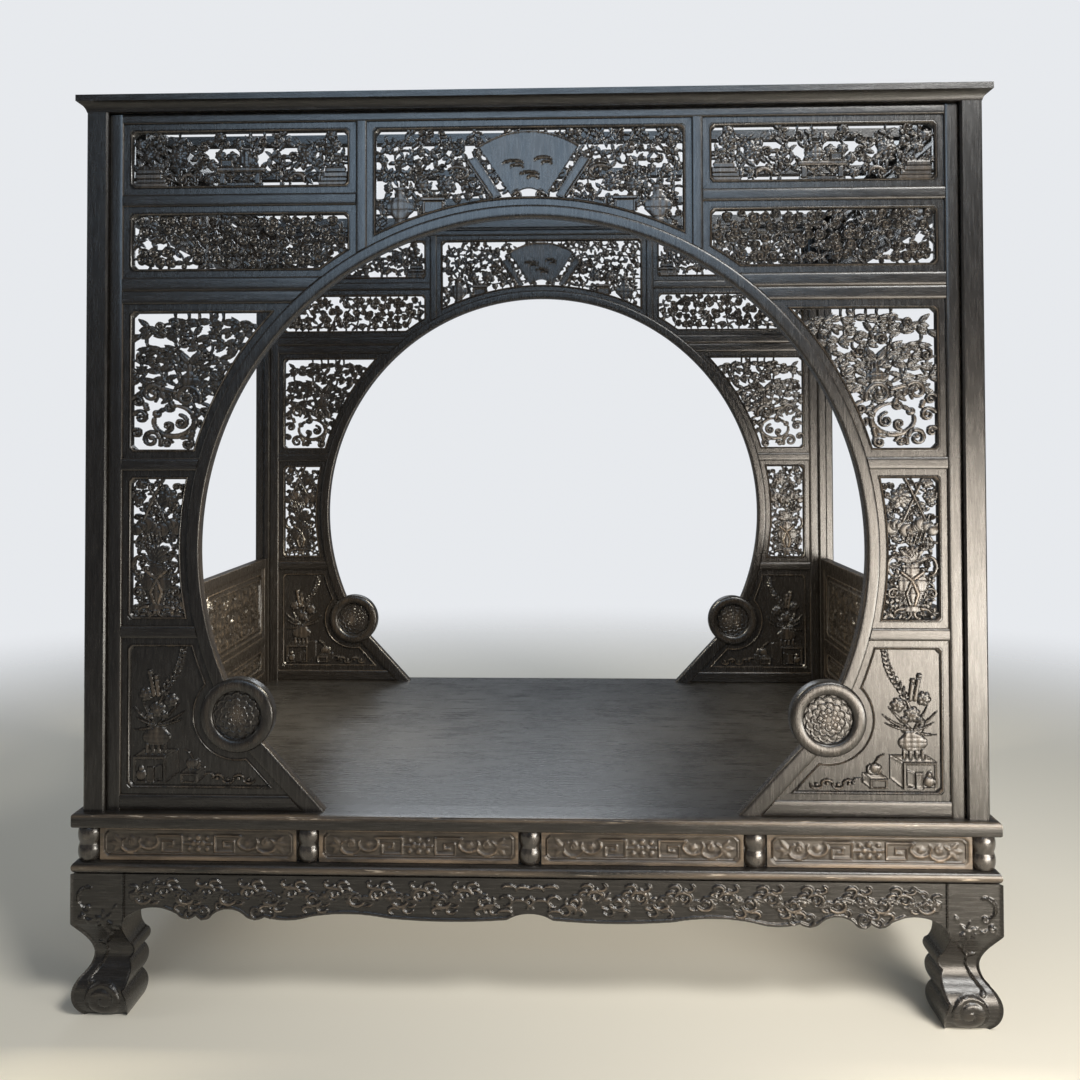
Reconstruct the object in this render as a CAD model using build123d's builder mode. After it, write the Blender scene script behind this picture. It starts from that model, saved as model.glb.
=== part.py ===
from build123d import *

import os
from dataclasses import dataclass
from math import asin, atan2, cos, degrees, radians, sin, sqrt

# A Chinese moon-gate canopy bed, in millimetres.  X runs to the right along the front, Y to the back,
# Z up.  The origin is on the floor at the centre of the footprint.  The bed stands on four cabriole
# legs, and carries a canopy of four corner posts, a moon gate at the front and one at the back, a low
# railing and a pierced frieze at each end, and an open mitred cornice.

# ---------------------------------------------------------------- overall sizes
canopy_width = 2186.0  # over the corner posts
canopy_depth = 1486.0  # over the corner posts
total_height = 2250.0
deck_height = 493.0  # top of the bed frame
frame_overhang = 20.0  # bed frame and cornice beyond the posts
cornice_height = 38.0
post_side = 52.0

# ---------------------------------------------------------------- fits
seat_gap = 0.3  # a panel's shoulder to the member that holds it
joint_clearance = 0.2  # all round a tenon or a tongue
gate_side_gap = 0.5  # gate stile to corner post
gate_top_gap = 4.0  # gate to cornice

# ---------------------------------------------------------------- moon gates
gate_thickness = 34.0
gate_setback = 12.0  # gate face behind the post's outer face
stile_width = 34.0
mullion_width = 27.0
fan_half_width = 399.0  # half the field between the mullions
top_rail_height = 22.0
rail_height = 30.0
split_rail_height = 33.0  # each of the two rails that meet where the gate comes apart
bottom_rail_height = 38.0
lintel_field_height = 176.5
side_field_height = 382.0
ring_centre_z = 1130.0
ring_inner_radius = 814.5
ring_width = 30.5
roundel_x = 718.0
roundel_z = 725.0
roundel_radius = 91.0
roundel_thickness = 42.0
roundel_disc_radius = 59.0
roundel_recess = 7.0
roundel_slope = 7.0  # fall of the rim from its crest to its outer edge
foot_top_x = 656.0  # opening edge of the slanted foot rail where it leaves the roundel
foot_top_z = 660.0
foot_tip_x = 501.5  # and where it stands on the bed frame
foot_width = 40.0
post_chamfer = 4.0

# ---------------------------------------------------------------- joinery
tenon_thickness = 10.0
tenon_depth = 16.0
stub_depth = 12.0  # short tenons into slender members
split_stub_depth = 7.0  # short tenons that locate the lintel section on the sides
tenon_shoulder = 8.0
tenon_root = 5.0  # how far a tenon is drawn back into its own member
foot_tenon_depth = 20.0  # gate tenons in the bed frame
tongue_depth = 6.0
tongue_thickness = 8.0
stile_tongue_depth = 8.0  # gate stile in the corner post

# ---------------------------------------------------------------- carved panels
panel_thickness = 20.0
panel_margin = 22.0  # plain border round the carving
relief_depth = 4.0
stem_width = 9.0
flower_sides = 4

# ---------------------------------------------------------------- end railings and friezes
railing_bottom_height = 36.0
railing_lower_field = 102.0
railing_mid_height = 33.0
railing_upper_field = 257.0
railing_top_height = 35.0
railing_stile_width = 30.0
cartouche_corner = 60.0
lower_field_corner = 11.0

# ---------------------------------------------------------------- bed frame and deck
bed_frame_height = 34.0
bed_frame_width = 100.0
bed_frame_round = 6.0
rebate_width = 12.0
board_thickness = 16.0
board_count = 6
board_gap = 0.6
brace_count = 4
brace_width = 45.0
brace_height = 38.0
brace_tenon_height = 10.0
brace_tenon_length = 15.0
post_tenon_side = 24.0
post_tenon_depth = 22.0

# ---------------------------------------------------------------- waist, torus moulding, aprons
waist_height = 82.0
waist_setback = 27.0
waist_board_thickness = 18.0
waist_panel_thickness = 8.0
waist_panel_gap = 1.0
waist_panel_border = 9.0
waist_panel_recess = 3.0
waist_corner_cut = 9.0
waist_column_radius = 30.0
waist_column_proud = 17.0
waist_column_pitch = 538.5  # along the front and back
waist_end_panels = 3
waist_column_width = 56.0
waist_corner_inset = 35.0  # centre of a corner column from both edges
waist_corner_reach = 64.0  # end of the nearest panel from the edge
column_neck = 5.0  # how much narrower the neck is than the drums, in radius
column_neck_height = 6.0
column_sides = 16
torus_height = 28.0
torus_width = 70.0
apron_thickness = 28.0
apron_arch_height = 79.0  # edge below the top of the apron at the arch beside the leg
apron_tenon_length = 20.0
apron_tenon_height = 50.0
apron_tenon_drop = 14.0
apron_tenon_thickness = 12.0

# ---------------------------------------------------------------- legs
leg_width = 131.0
leg_waist_inset = 42.0
leg_waist_z = 145.0
leg_shoulder_z = 222.0
foot_inset = 2.0
foot_widest_z = 57.0
sole_inset = 26.0
leg_tenon_side = 40.0
leg_tenon_inset = 50.0
leg_tenon_entry = 10.0  # into the bed frame

# ---------------------------------------------------------------- cornice and roof
cornice_width = 95.0
fascia_height = 15.0
batten_count = 3
batten_width = 40.0
batten_height = 24.0
batten_housing = 15.0

# ---------------------------------------------------------------- derived places
post_outer_x = canopy_width / 2
post_outer_y = canopy_depth / 2
post_inner_x = post_outer_x - post_side
post_inner_y = post_outer_y - post_side
bed_half_width = post_outer_x + frame_overhang
bed_half_depth = post_outer_y + frame_overhang
cornice_z = total_height - cornice_height
gate_top_z = cornice_z - gate_top_gap
gate_outer_x = post_inner_x - gate_side_gap
gate_mid_y = post_outer_y - gate_setback - gate_thickness / 2
side_mid_x = post_outer_x - gate_setback - gate_thickness / 2
field_outer_x = gate_outer_x - stile_width
mullion_outer_x = fan_half_width + mullion_width
ring_outer_radius = ring_inner_radius + ring_width
ring_mid_radius = ring_inner_radius + ring_width / 2

relief_low = deck_height + bottom_rail_height
relief_high = relief_low + side_field_height
tall_low = relief_high + rail_height
tall_high = tall_low + side_field_height
spandrel_low = tall_high + rail_height
spandrel_high = spandrel_low + side_field_height
split_z = spandrel_high + split_rail_height
cloud_low = split_z + split_rail_height
cloud_high = cloud_low + lintel_field_height
antiques_low = cloud_high + rail_height
antiques_high = gate_top_z - top_rail_height

bed_frame_low = deck_height - bed_frame_height
waist_low = bed_frame_low - waist_height
torus_low = waist_low - torus_height
leg_inner_x = bed_half_width - leg_width
leg_inner_y = bed_half_depth - leg_width

SIDES = (-1, 1)
gate_mid = Plane.XZ.offset(gate_mid_y)
end_mid = Plane(origin=(-side_mid_x, 0, 0), x_dir=(0, 1, 0), z_dir=(1, 0, 0))
front_face = Plane.XZ.offset(bed_half_depth)
left_face = Plane(origin=(-bed_half_width, 0, 0), x_dir=(0, 1, 0), z_dir=(1, 0, 0))


# ================================================================ gate geometry
@dataclass(frozen=True)
class Block:
    """A rectangle in the front view, given by its distances from the middle and its heights."""

    near: float
    far: float
    low: float
    high: float
    turn: float = 0.0  # degrees, counter-clockwise on the left-hand side


def ring_reach(radius, z):
    """Half the width of a ring circle at a height."""
    return sqrt(radius**2 - (z - ring_centre_z) ** 2)


def draw_block(block, grow=0.0, mode=Mode.ADD):
    """Draws a block on both sides of the middle, or once where it spans the middle."""
    width = block.far - block.near + 2 * grow
    height = block.high - block.low + 2 * grow
    middle = (block.near + block.far) / 2
    z = (block.low + block.high) / 2
    for side in SIDES if middle > 0 else (1,):
        with Locations((side * middle, z)):
            Rectangle(width, height, rotation=-side * block.turn, mode=mode)


# The slanted foot rail runs from its tip on the bed frame up to the roundel.
foot_run = foot_top_x - foot_tip_x
foot_rise = foot_top_z - deck_height
foot_angle = degrees(atan2(foot_rise, foot_run))
foot_along = (cos(radians(foot_angle)), sin(radians(foot_angle)))  # outwards and up
foot_across = (foot_along[1], -foot_along[0])  # away from the opening


def foot_point(along, across):
    """A point given along the foot rail's opening edge from its tip, and across from that edge."""
    x = foot_tip_x + along * foot_along[0] + across * foot_across[0]
    z = deck_height + along * foot_along[1] + across * foot_across[1]
    return x, z


def foot_strip(start, end, near, far):
    """A strip beside the foot rail's opening edge, as a turned block."""
    x, z = foot_point((start + end) / 2, (near + far) / 2)
    length = end - start
    width = far - near
    return Block(x - length / 2, x + length / 2, z - width / 2, z + width / 2, -foot_angle)


def foot_edge_x(z, across=0.0):
    """Distance from the middle of a line beside the foot rail's opening edge, at a height."""
    x0, z0 = foot_point(0, across)
    return x0 + (z - z0) * foot_run / foot_rise


foot_below = -60.0
foot_into_roundel = 260.0
opening_strip_width = 250.0


def trim_to_ring(grow):
    """Takes the ring away from fields and rails that end on it."""
    with Locations((0, ring_centre_z)):
        Circle(ring_outer_radius - grow, mode=Mode.SUBTRACT)


def trim_to_foot(grow):
    """Takes the roundel and the foot rail away from what ends on them."""
    draw_block(foot_strip(foot_below, foot_into_roundel, -opening_strip_width, foot_width - grow),
               mode=Mode.SUBTRACT)
    with Locations(*[(side * roundel_x, roundel_z) for side in SIDES]):
        Circle(roundel_radius - grow, mode=Mode.SUBTRACT)


def gate_view(blocks, grow=0.0, foot=False, round_grow=None):
    """Front view of fields or rails, trimmed to the ring and, near the deck, to the foot.

    It grows by round_grow towards the ring and the foot, and by grow elsewhere.
    """
    if round_grow is None:
        round_grow = grow
    with BuildSketch(gate_mid) as view:
        for block in blocks:
            draw_block(block, grow)
        trim_to_ring(round_grow)
        if foot:
            trim_to_foot(round_grow)
    return view.sketch


inside_ring = 300.0  # any distance that lies within the ring at the heights of the side fields
inside_arch_z = ring_centre_z + 700.0  # any height that lies within the ring under the fan panel

antiques_field = Block(mullion_outer_x, field_outer_x, antiques_low, antiques_high)
cloud_field = Block(mullion_outer_x, field_outer_x, cloud_low, cloud_high)
fan_field = Block(-fan_half_width, fan_half_width, inside_arch_z, antiques_high)
spandrel_field = Block(inside_ring, field_outer_x, spandrel_low, spandrel_high)
tall_field = Block(inside_ring, field_outer_x, tall_low, tall_high)
relief_field = Block(inside_ring, field_outer_x, relief_low, relief_high)
open_fields = [antiques_field, cloud_field, fan_field, spandrel_field, tall_field]

# ---------------------------------------------------------------- tenons of the gate
side_rails = [
    Block(inside_ring, field_outer_x, relief_high, tall_low),
    Block(inside_ring, field_outer_x, tall_high, spandrel_low),
    Block(inside_ring, field_outer_x, spandrel_high, split_z),
]
bottom_rail = Block(foot_tip_x, field_outer_x, deck_height, relief_low)
lintel_mid_rail = Block(mullion_outer_x, field_outer_x, cloud_high, antiques_low)
lintel_low_rail = Block(inside_ring, field_outer_x, split_z, cloud_low)


def end_tenon(block, seat, depth, outwards):
    """Tenon at one end of a rail: it crosses the seat by its depth."""
    step = 1 if outwards else -1
    ends = sorted((seat - step * tenon_root, seat + step * depth))
    return Block(ends[0], ends[1], block.low + tenon_shoulder, block.high - tenon_shoulder)


def upright_tenon(middle, width, seat, depth, upwards):
    """Tenon at the top or bottom of a stile, a mullion or a ring rail."""
    step = 1 if upwards else -1
    ends = sorted((seat - step * tenon_root, seat + step * depth))
    return Block(middle - width / 2, middle + width / 2, ends[0], ends[1])


def rail_tenons(rail, inner_seat, inner_depth=stub_depth):
    """Both tenons of a rail that runs from the outer stile inwards."""
    return [end_tenon(rail, field_outer_x, tenon_depth, True),
            end_tenon(rail, inner_seat, inner_depth, False)]


def ring_seat(rail):
    """Where a rail meets the outside of the ring."""
    return ring_reach(ring_outer_radius, (rail.low + rail.high) / 2)


side_rail_tenons = [t for rail in side_rails for t in rail_tenons(rail, ring_seat(rail))]
bottom_rail_seat = foot_edge_x((deck_height + relief_low) / 2, foot_width)
side_rail_tenons += rail_tenons(bottom_rail, bottom_rail_seat)
lintel_rail_tenons = rail_tenons(lintel_mid_rail, mullion_outer_x)
lintel_rail_tenons += rail_tenons(lintel_low_rail, ring_seat(lintel_low_rail))

stile_x = (field_outer_x + gate_outer_x) / 2
stile_tenon_width = stile_width - 2 * tenon_shoulder
mullion_x = fan_half_width + mullion_width / 2
mullion_tenon_width = mullion_width - 2 * tenon_shoulder
mullion_foot_z = ring_centre_z + sqrt(ring_outer_radius**2 - mullion_x**2)
mullion_tenons = [
    upright_tenon(mullion_x, mullion_tenon_width, antiques_high, stub_depth, True),
    upright_tenon(mullion_x, mullion_tenon_width, mullion_foot_z, stub_depth, False),
]
top_rail_tenon = Block(field_outer_x - tenon_root, field_outer_x + tenon_depth,
                       antiques_high + tenon_shoulder, gate_top_z - tenon_root)
side_stile_tenons = [
    upright_tenon(stile_x, stile_tenon_width, split_z, split_stub_depth, True),
    upright_tenon(stile_x, stile_tenon_width, deck_height, foot_tenon_depth, False),
]

# Where the ring rail comes to the split line and to the roundel.
ring_split_x = (ring_reach(ring_inner_radius, split_z) + ring_reach(ring_outer_radius, split_z)) / 2
ring_stub_width = ring_width - 2 * tenon_shoulder
roundel_bearing = degrees(atan2(roundel_z - ring_centre_z, roundel_x))
roundel_half_angle = degrees(2 * asin(roundel_radius / 2 / ring_mid_radius))
ring_end_bearing = roundel_bearing + roundel_half_angle
ring_end_x = ring_mid_radius * cos(radians(ring_end_bearing))
ring_end_z = ring_centre_z + ring_mid_radius * sin(radians(ring_end_bearing))
ring_tenons = [
    upright_tenon(ring_split_x, ring_stub_width, split_z, split_stub_depth, True),
    Block(ring_end_x - stub_depth, ring_end_x + stub_depth,
          ring_end_z - ring_stub_width / 2, ring_end_z + ring_stub_width / 2,
          -(ring_end_bearing + 90)),
]

# The foot rail's middle line enters the roundel here, measured from the tip.
foot_mid = foot_point(0, foot_width / 2)
to_foot_mid = (foot_mid[0] - roundel_x, foot_mid[1] - roundel_z)
foot_projection = -(to_foot_mid[0] * foot_along[0] + to_foot_mid[1] * foot_along[1])
foot_offset_squared = to_foot_mid[0] ** 2 + to_foot_mid[1] ** 2 - foot_projection**2
foot_meets_roundel = foot_projection - sqrt(roundel_radius**2 - foot_offset_squared)
foot_tenon_width = foot_width - 2 * tenon_shoulder
foot_base_x = (foot_tip_x + foot_edge_x(deck_height, foot_width)) / 2
foot_tenons = [
    foot_strip(foot_meets_roundel - stub_depth, foot_meets_roundel + stub_depth,
               tenon_shoulder, foot_width - tenon_shoulder),
    upright_tenon(foot_base_x, foot_tenon_width, deck_height, foot_tenon_depth, False),
]
all_tenons = (side_rail_tenons + lintel_rail_tenons + mullion_tenons + [top_rail_tenon]
              + side_stile_tenons + ring_tenons + foot_tenons)


def tenon_view(tenons, grow=0.0):
    """Front view of tenons, or of their mortises when grown by the clearance."""
    with BuildSketch(gate_mid) as view:
        for tenon in tenons:
            draw_block(tenon, grow)
    return view.sketch


# The panels' tongues stand in the straight members, and their round edges butt against the ring.
groove_grow = tongue_depth + joint_clearance
groove_views = [gate_view(open_fields, groove_grow, round_grow=0.0),
                gate_view([relief_field], groove_grow, foot=True, round_grow=0.0)]


def cut_joints(own_tenons):
    """Cuts the grooves for the panels and the mortises for every other member's tenon."""
    for view in groove_views:
        extrude(view, amount=tongue_thickness / 2 + joint_clearance, both=True, mode=Mode.SUBTRACT)
    others = [tenon for tenon in all_tenons if tenon not in own_tenons]
    extrude(tenon_view(others, joint_clearance), amount=tenon_thickness / 2 + joint_clearance,
            both=True, mode=Mode.SUBTRACT)


def gate_member(view, own_tenons):
    """A gate member from its front view, with its tenons, mortises and grooves."""
    with BuildPart() as member:
        extrude(view, amount=gate_thickness / 2, both=True)
        cut_joints(own_tenons)
        if own_tenons:
            extrude(tenon_view(own_tenons), amount=tenon_thickness / 2, both=True)
    return member.part


# ================================================================ gate members
def top_rail():
    """Rail along the top of the lintel."""
    rail = Block(-field_outer_x, field_outer_x, antiques_high, gate_top_z)
    return gate_member(gate_view([rail]), [top_rail_tenon])


def stiles(low, high, own_tenons):
    """Outer stiles, with the tongue that stands in the groove of the corner post."""
    view = gate_view([Block(field_outer_x, gate_outer_x, low, high)])
    tongue = gate_view([Block(gate_outer_x - tenon_root, gate_outer_x + stile_tongue_depth, low, high)])
    with BuildPart() as pair:
        add(gate_member(view, own_tenons))
        extrude(tongue, amount=tenon_thickness / 2, both=True)
    return pair.part


def mullions():
    """Short uprights on each side of the fan panel."""
    view = gate_view([Block(fan_half_width, mullion_outer_x, inside_arch_z, antiques_high)])
    return gate_member(view, mullion_tenons)


def arch():
    """The ring rail of the lintel section."""
    with BuildSketch(gate_mid) as view:
        draw_block(Block(-ring_outer_radius, ring_outer_radius, split_z,
                         ring_centre_z + ring_outer_radius))
        with Locations((0, ring_centre_z)):
            Circle(ring_outer_radius, mode=Mode.INTERSECT)
            Circle(ring_inner_radius, mode=Mode.SUBTRACT)
    return gate_member(view.sketch, [])


def ring_sides():
    """The ring rails of the side sections, from the split line down to the roundels."""
    with BuildSketch(gate_mid) as view:
        draw_block(Block(-ring_outer_radius, ring_outer_radius, roundel_z, split_z))
        with Locations((0, ring_centre_z)):
            Circle(ring_outer_radius, mode=Mode.INTERSECT)
            Circle(ring_inner_radius, mode=Mode.SUBTRACT)
        with Locations(*[(side * roundel_x, roundel_z) for side in SIDES]):
            Circle(roundel_radius, mode=Mode.SUBTRACT)
    return gate_member(view.sketch, ring_tenons)


def foot_rails():
    """The slanted rails that carry the ring down to the bed frame."""
    with BuildSketch(gate_mid) as view:
        draw_block(foot_strip(foot_below, foot_into_roundel, 0, foot_width))
        draw_block(Block(-bed_half_width, bed_half_width, deck_height, roundel_z), mode=Mode.INTERSECT)
        with Locations(*[(side * roundel_x, roundel_z) for side in SIDES]):
            Circle(roundel_radius, mode=Mode.SUBTRACT)
    return gate_member(view.sketch, foot_tenons)


def roundels():
    """The pair of roundels: a rim with a crest round a recessed disc, the same on both faces."""
    half = roundel_thickness / 2
    crest = (roundel_radius + roundel_disc_radius) / 2
    edge = [(0, half - roundel_recess), (roundel_disc_radius, half - roundel_recess), (crest, half),
            (roundel_radius, half - roundel_slope)]
    with BuildPart() as pair:
        for side in SIDES:
            turning = Plane(origin=(side * roundel_x, -gate_mid_y, roundel_z), x_dir=(1, 0, 0),
                            z_dir=(0, 0, 1))
            with BuildSketch(turning):
                with BuildLine():
                    Polyline(*edge, *[(x, -y) for x, y in reversed(edge)], close=True)
                make_face()
            revolve(axis=Axis((side * roundel_x, 0, roundel_z), (0, 1, 0)))
        cut_joints([])
    return pair.part


# ================================================================ carved panels
@dataclass(frozen=True)
class Branch:
    """A branch that swings from side to side with a flower at every bend, on both sides of the
    middle.  It runs between two points of the field's border, given by distance from the middle
    and height.
    """

    start: tuple
    end: tuple
    bends: int
    swing: float
    flower_radius: float
    width: float = stem_width


def draw_branch(branch):
    """Leaves a branch standing in the openwork."""
    start = Vector(*branch.start)
    run = Vector(*branch.end) - start
    sideways = Vector(-run.Y, run.X).normalized() * branch.swing
    bends = [start + run * ((number + 0.5) / branch.bends) + sideways * (1 if number % 2 else -1)
             for number in range(branch.bends)]
    for side in SIDES:
        points = [Vector(side * point.X, point.Y) for point in [start, *bends, start + run]]
        for first, last in zip(points, points[1:]):
            stretch = last - first
            with Locations((first + last) / 2):
                Rectangle(stretch.length, branch.width, rotation=degrees(atan2(stretch.Y, stretch.X)),
                          mode=Mode.SUBTRACT)
        if branch.flower_radius:
            with Locations(*points[1:-1]):
                RegularPolygon(branch.flower_radius, flower_sides, mode=Mode.SUBTRACT)


def draw_solids(blocks):
    """Solid carved masses, such as a table or a pile of books, left standing in the openwork."""
    for block in blocks:
        draw_block(block, mode=Mode.SUBTRACT)


def pierced_panel(field, branches, draw_masses=None):
    """A panel with a tongue all round, pierced so that branches and masses are left standing."""
    with BuildPart() as panel:
        extrude(gate_view([field], -seat_gap), amount=panel_thickness / 2, both=True)
        extrude(gate_view([field], tongue_depth, round_grow=-seat_gap), amount=tongue_thickness / 2,
                both=True)
        with BuildSketch(gate_mid):
            draw_block(field, -panel_margin)
            trim_to_ring(-panel_margin)
            for branch in branches:
                draw_branch(branch)
            if draw_masses:
                draw_masses()
        extrude(amount=panel_thickness / 2, both=True, mode=Mode.SUBTRACT)
    return panel.part


# Openings of the pierced panels, inside their plain borders.
lintel_near = mullion_outer_x + panel_margin
carving_far = field_outer_x - panel_margin
antiques_bottom = antiques_low + panel_margin
antiques_top = antiques_high - panel_margin
cloud_middle = (cloud_low + cloud_high) / 2
antiques_middle = (antiques_low + antiques_high) / 2
lintel_swing = lintel_field_height / 2 - panel_margin - 22.0
fan_apex = ring_centre_z + ring_outer_radius + panel_margin
spandrel_bottom = spandrel_low + panel_margin
spandrel_top = spandrel_high - panel_margin
tall_bottom = tall_low + panel_margin
tall_top = tall_high - panel_margin
tall_middle = (ring_outer_radius + panel_margin + carving_far) / 2
vase_z = tall_bottom + 95.0
vase_neck_top = vase_z + 62.0

antiques_branches = [Branch((lintel_near, antiques_middle), (carving_far, antiques_middle), 3,
                            lintel_swing, 26.0)]
cloud_branches = [Branch((lintel_near, cloud_middle), (carving_far, cloud_middle), 4, lintel_swing,
                         30.0)]
fan_branches = [
    Branch((66.0, fan_apex - 8.0), (150.0, antiques_top), 1, 0.0, 0.0, 2 * stem_width),
    Branch((126.0, fan_apex + 90.0), (fan_half_width - panel_margin, fan_apex + 40.0), 2, 36.0, 28.0),
]
spandrel_branches = [
    Branch((carving_far - 46.0, spandrel_bottom), (carving_far - 110.0, spandrel_top), 3, 44.0, 30.0),
    Branch((carving_far - 120.0, spandrel_bottom + 262.0), (carving_far - 350.0, spandrel_top), 1, 10.0,
           26.0),
]
tall_branches = [Branch((tall_middle, vase_neck_top - 4.0), (tall_middle, tall_top), 2, 26.0, 24.0)]


def draw_antiques():
    """A low table in the middle and piles of books at both ends."""
    middle = (lintel_near + carving_far) / 2
    mass = 34.0
    draw_solids([
        Block(middle - mass, middle + mass, antiques_bottom, antiques_bottom + mass),
        Block(lintel_near, lintel_near + mass, antiques_bottom, antiques_top - mass),
        Block(carving_far - mass, carving_far, antiques_bottom, antiques_top - mass),
    ])


def draw_fan():
    """An open folding fan standing on its pivot in the middle."""
    fan_radius = antiques_top - fan_apex - 2.0
    half_spread = 40.0
    with Locations((0, fan_apex)):
        Circle(fan_radius / 4, mode=Mode.SUBTRACT)
    with BuildLine() as outline:
        CenterArc((0, fan_apex), fan_radius, 90 - half_spread, 2 * half_spread)
        for side in SIDES:
            PolarLine((0, fan_apex), fan_radius, 90 + side * half_spread)
    make_face(outline.edges(), mode=Mode.SUBTRACT)


def draw_vase():
    """A vase on a stand."""
    with Locations(*[(side * tall_middle, vase_z) for side in SIDES]):
        RegularPolygon(32.0, 6, mode=Mode.SUBTRACT)
    draw_solids([
        Block(tall_middle - 12.0, tall_middle + 12.0, vase_z, vase_neck_top),
        Block(tall_middle - 22.0, tall_middle + 22.0, tall_bottom, tall_bottom + 50.0),
        Block(tall_middle - 15.0, tall_middle + 15.0, tall_bottom + 50.0, vase_z),
        Block(tall_middle - 24.0, tall_middle + 24.0, vase_neck_top - 10.0, vase_neck_top),
    ])


def relief_panels():
    """Solid boards with a sunk ground for low relief on both faces."""
    with BuildPart() as panel:
        extrude(gate_view([relief_field], -seat_gap, foot=True), amount=panel_thickness / 2, both=True)
        extrude(gate_view([relief_field], tongue_depth, foot=True, round_grow=-seat_gap),
                amount=tongue_thickness / 2, both=True)
        ground = gate_view([relief_field], -panel_margin, foot=True)
        for face in SIDES:
            sunk = ground.moved(Location((0, face * (panel_thickness - relief_depth) / 2, 0)))
            extrude(sunk, amount=relief_depth / 2, both=True, mode=Mode.SUBTRACT)
    return panel.part


# ================================================================ end railings and friezes
@dataclass(frozen=True)
class EndBar:
    """A rectangle in the end view, given by its reach along Y and its heights."""

    front: float
    back: float
    low: float
    high: float


def end_view(bars, grow=0.0):
    """End view of bars or fields on the left-hand end."""
    with BuildSketch(end_mid) as view:
        for bar in bars:
            with Locations(((bar.front + bar.back) / 2, (bar.low + bar.high) / 2)):
                Rectangle(bar.back - bar.front + 2 * grow, bar.high - bar.low + 2 * grow)
    return view.sketch


railing_lower_low = deck_height + railing_bottom_height
railing_lower_high = railing_lower_low + railing_lower_field
railing_upper_low = railing_lower_high + railing_mid_height
railing_upper_high = railing_upper_low + railing_upper_field
railing_top = railing_upper_high + railing_top_height
end_reach = post_inner_y - gate_side_gap
end_field_back = end_reach - railing_stile_width
half_stile = railing_stile_width / 2


def end_bays(low, high):
    """The two fields of a tier, in front of and behind the middle stile."""
    return [EndBar(-end_field_back, -half_stile, low, high), EndBar(half_stile, end_field_back, low, high)]


def across(low, high):
    """A rail between the end stiles."""
    return EndBar(-end_field_back, end_field_back, low, high)


def end_stiles(low, high):
    """The two stiles that stand against the posts."""
    return [EndBar(-end_reach, -end_field_back, low, high), EndBar(end_field_back, end_reach, low, high)]


railing_rail_bars = [
    across(deck_height, railing_lower_low),
    across(railing_lower_high, railing_upper_low),
    across(railing_upper_high, railing_top),
]
railing_middle_bars = [
    EndBar(-half_stile, half_stile, railing_lower_low, railing_lower_high),
    EndBar(-half_stile, half_stile, railing_upper_low, railing_upper_high),
]
frieze_rail_bars = [across(cloud_high, antiques_low), across(antiques_high, gate_top_z)]
frieze_middle_bars = [EndBar(-half_stile, half_stile, antiques_low, antiques_high)]
end_fields = (end_bays(railing_lower_low, railing_lower_high)
              + end_bays(railing_upper_low, railing_upper_high)
              + end_bays(antiques_low, antiques_high))


def rail_end_tenons(bars):
    """Tenons of the rails in the end stiles."""
    tenons = []
    for bar in bars:
        shoulder = min(tenon_shoulder, (bar.high - bar.low) / 3)
        for side in SIDES:
            ends = sorted((side * (end_field_back - tenon_root), side * (end_field_back + tenon_depth)))
            tenons.append(EndBar(ends[0], ends[1], bar.low + shoulder, bar.high - shoulder))
    return tenons


def middle_tenons(bars):
    """Tenons of the middle stiles in the rails above and below them."""
    reach = half_stile - tenon_shoulder
    top = [EndBar(-reach, reach, bar.high - tenon_root, bar.high + stub_depth) for bar in bars]
    bottom = [EndBar(-reach, reach, bar.low - stub_depth, bar.low + tenon_root) for bar in bars]
    return top + bottom


railing_base_tenons = [EndBar(bar.front + tenon_shoulder, bar.back - tenon_shoulder,
                              deck_height - foot_tenon_depth, deck_height + tenon_root)
                       for bar in end_stiles(deck_height, railing_top)]
end_rail_tenons = rail_end_tenons(railing_rail_bars + frieze_rail_bars)
end_middle_tenons = middle_tenons(railing_middle_bars + frieze_middle_bars)
all_end_tenons = railing_base_tenons + end_rail_tenons + end_middle_tenons


def end_member(bars, own_tenons):
    """Members of a railing or frieze at both ends, with their joints."""
    others = [tenon for tenon in all_end_tenons if tenon not in own_tenons]
    with BuildPart() as member:
        extrude(end_view(bars), amount=gate_thickness / 2, both=True)
        extrude(end_view(end_fields, groove_grow), amount=tongue_thickness / 2 + joint_clearance,
                both=True, mode=Mode.SUBTRACT)
        extrude(end_view(others, joint_clearance), amount=tenon_thickness / 2 + joint_clearance,
                both=True, mode=Mode.SUBTRACT)
        extrude(end_view(own_tenons), amount=tenon_thickness / 2, both=True)
        mirror(about=Plane.YZ)
    return member.part


def end_stile_pieces():
    """The stiles of railings and friezes, with tongues that stand in the grooves of the posts."""
    stile_bars = end_stiles(deck_height, railing_top) + end_stiles(cloud_high, gate_top_z)
    tongues = [EndBar(bar.front - stile_tongue_depth if bar.front < 0 else bar.back - tenon_root,
                      bar.front + tenon_root if bar.front < 0 else bar.back + stile_tongue_depth,
                      bar.low, bar.high) for bar in stile_bars]
    with BuildPart() as pieces:
        add(end_member(stile_bars, railing_base_tenons))
        extrude(end_view(tongues), amount=tenon_thickness / 2, both=True)
        extrude(end_view(tongues).moved(Location((2 * side_mid_x, 0, 0))),
                amount=tenon_thickness / 2, both=True)
    return pieces.part


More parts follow.
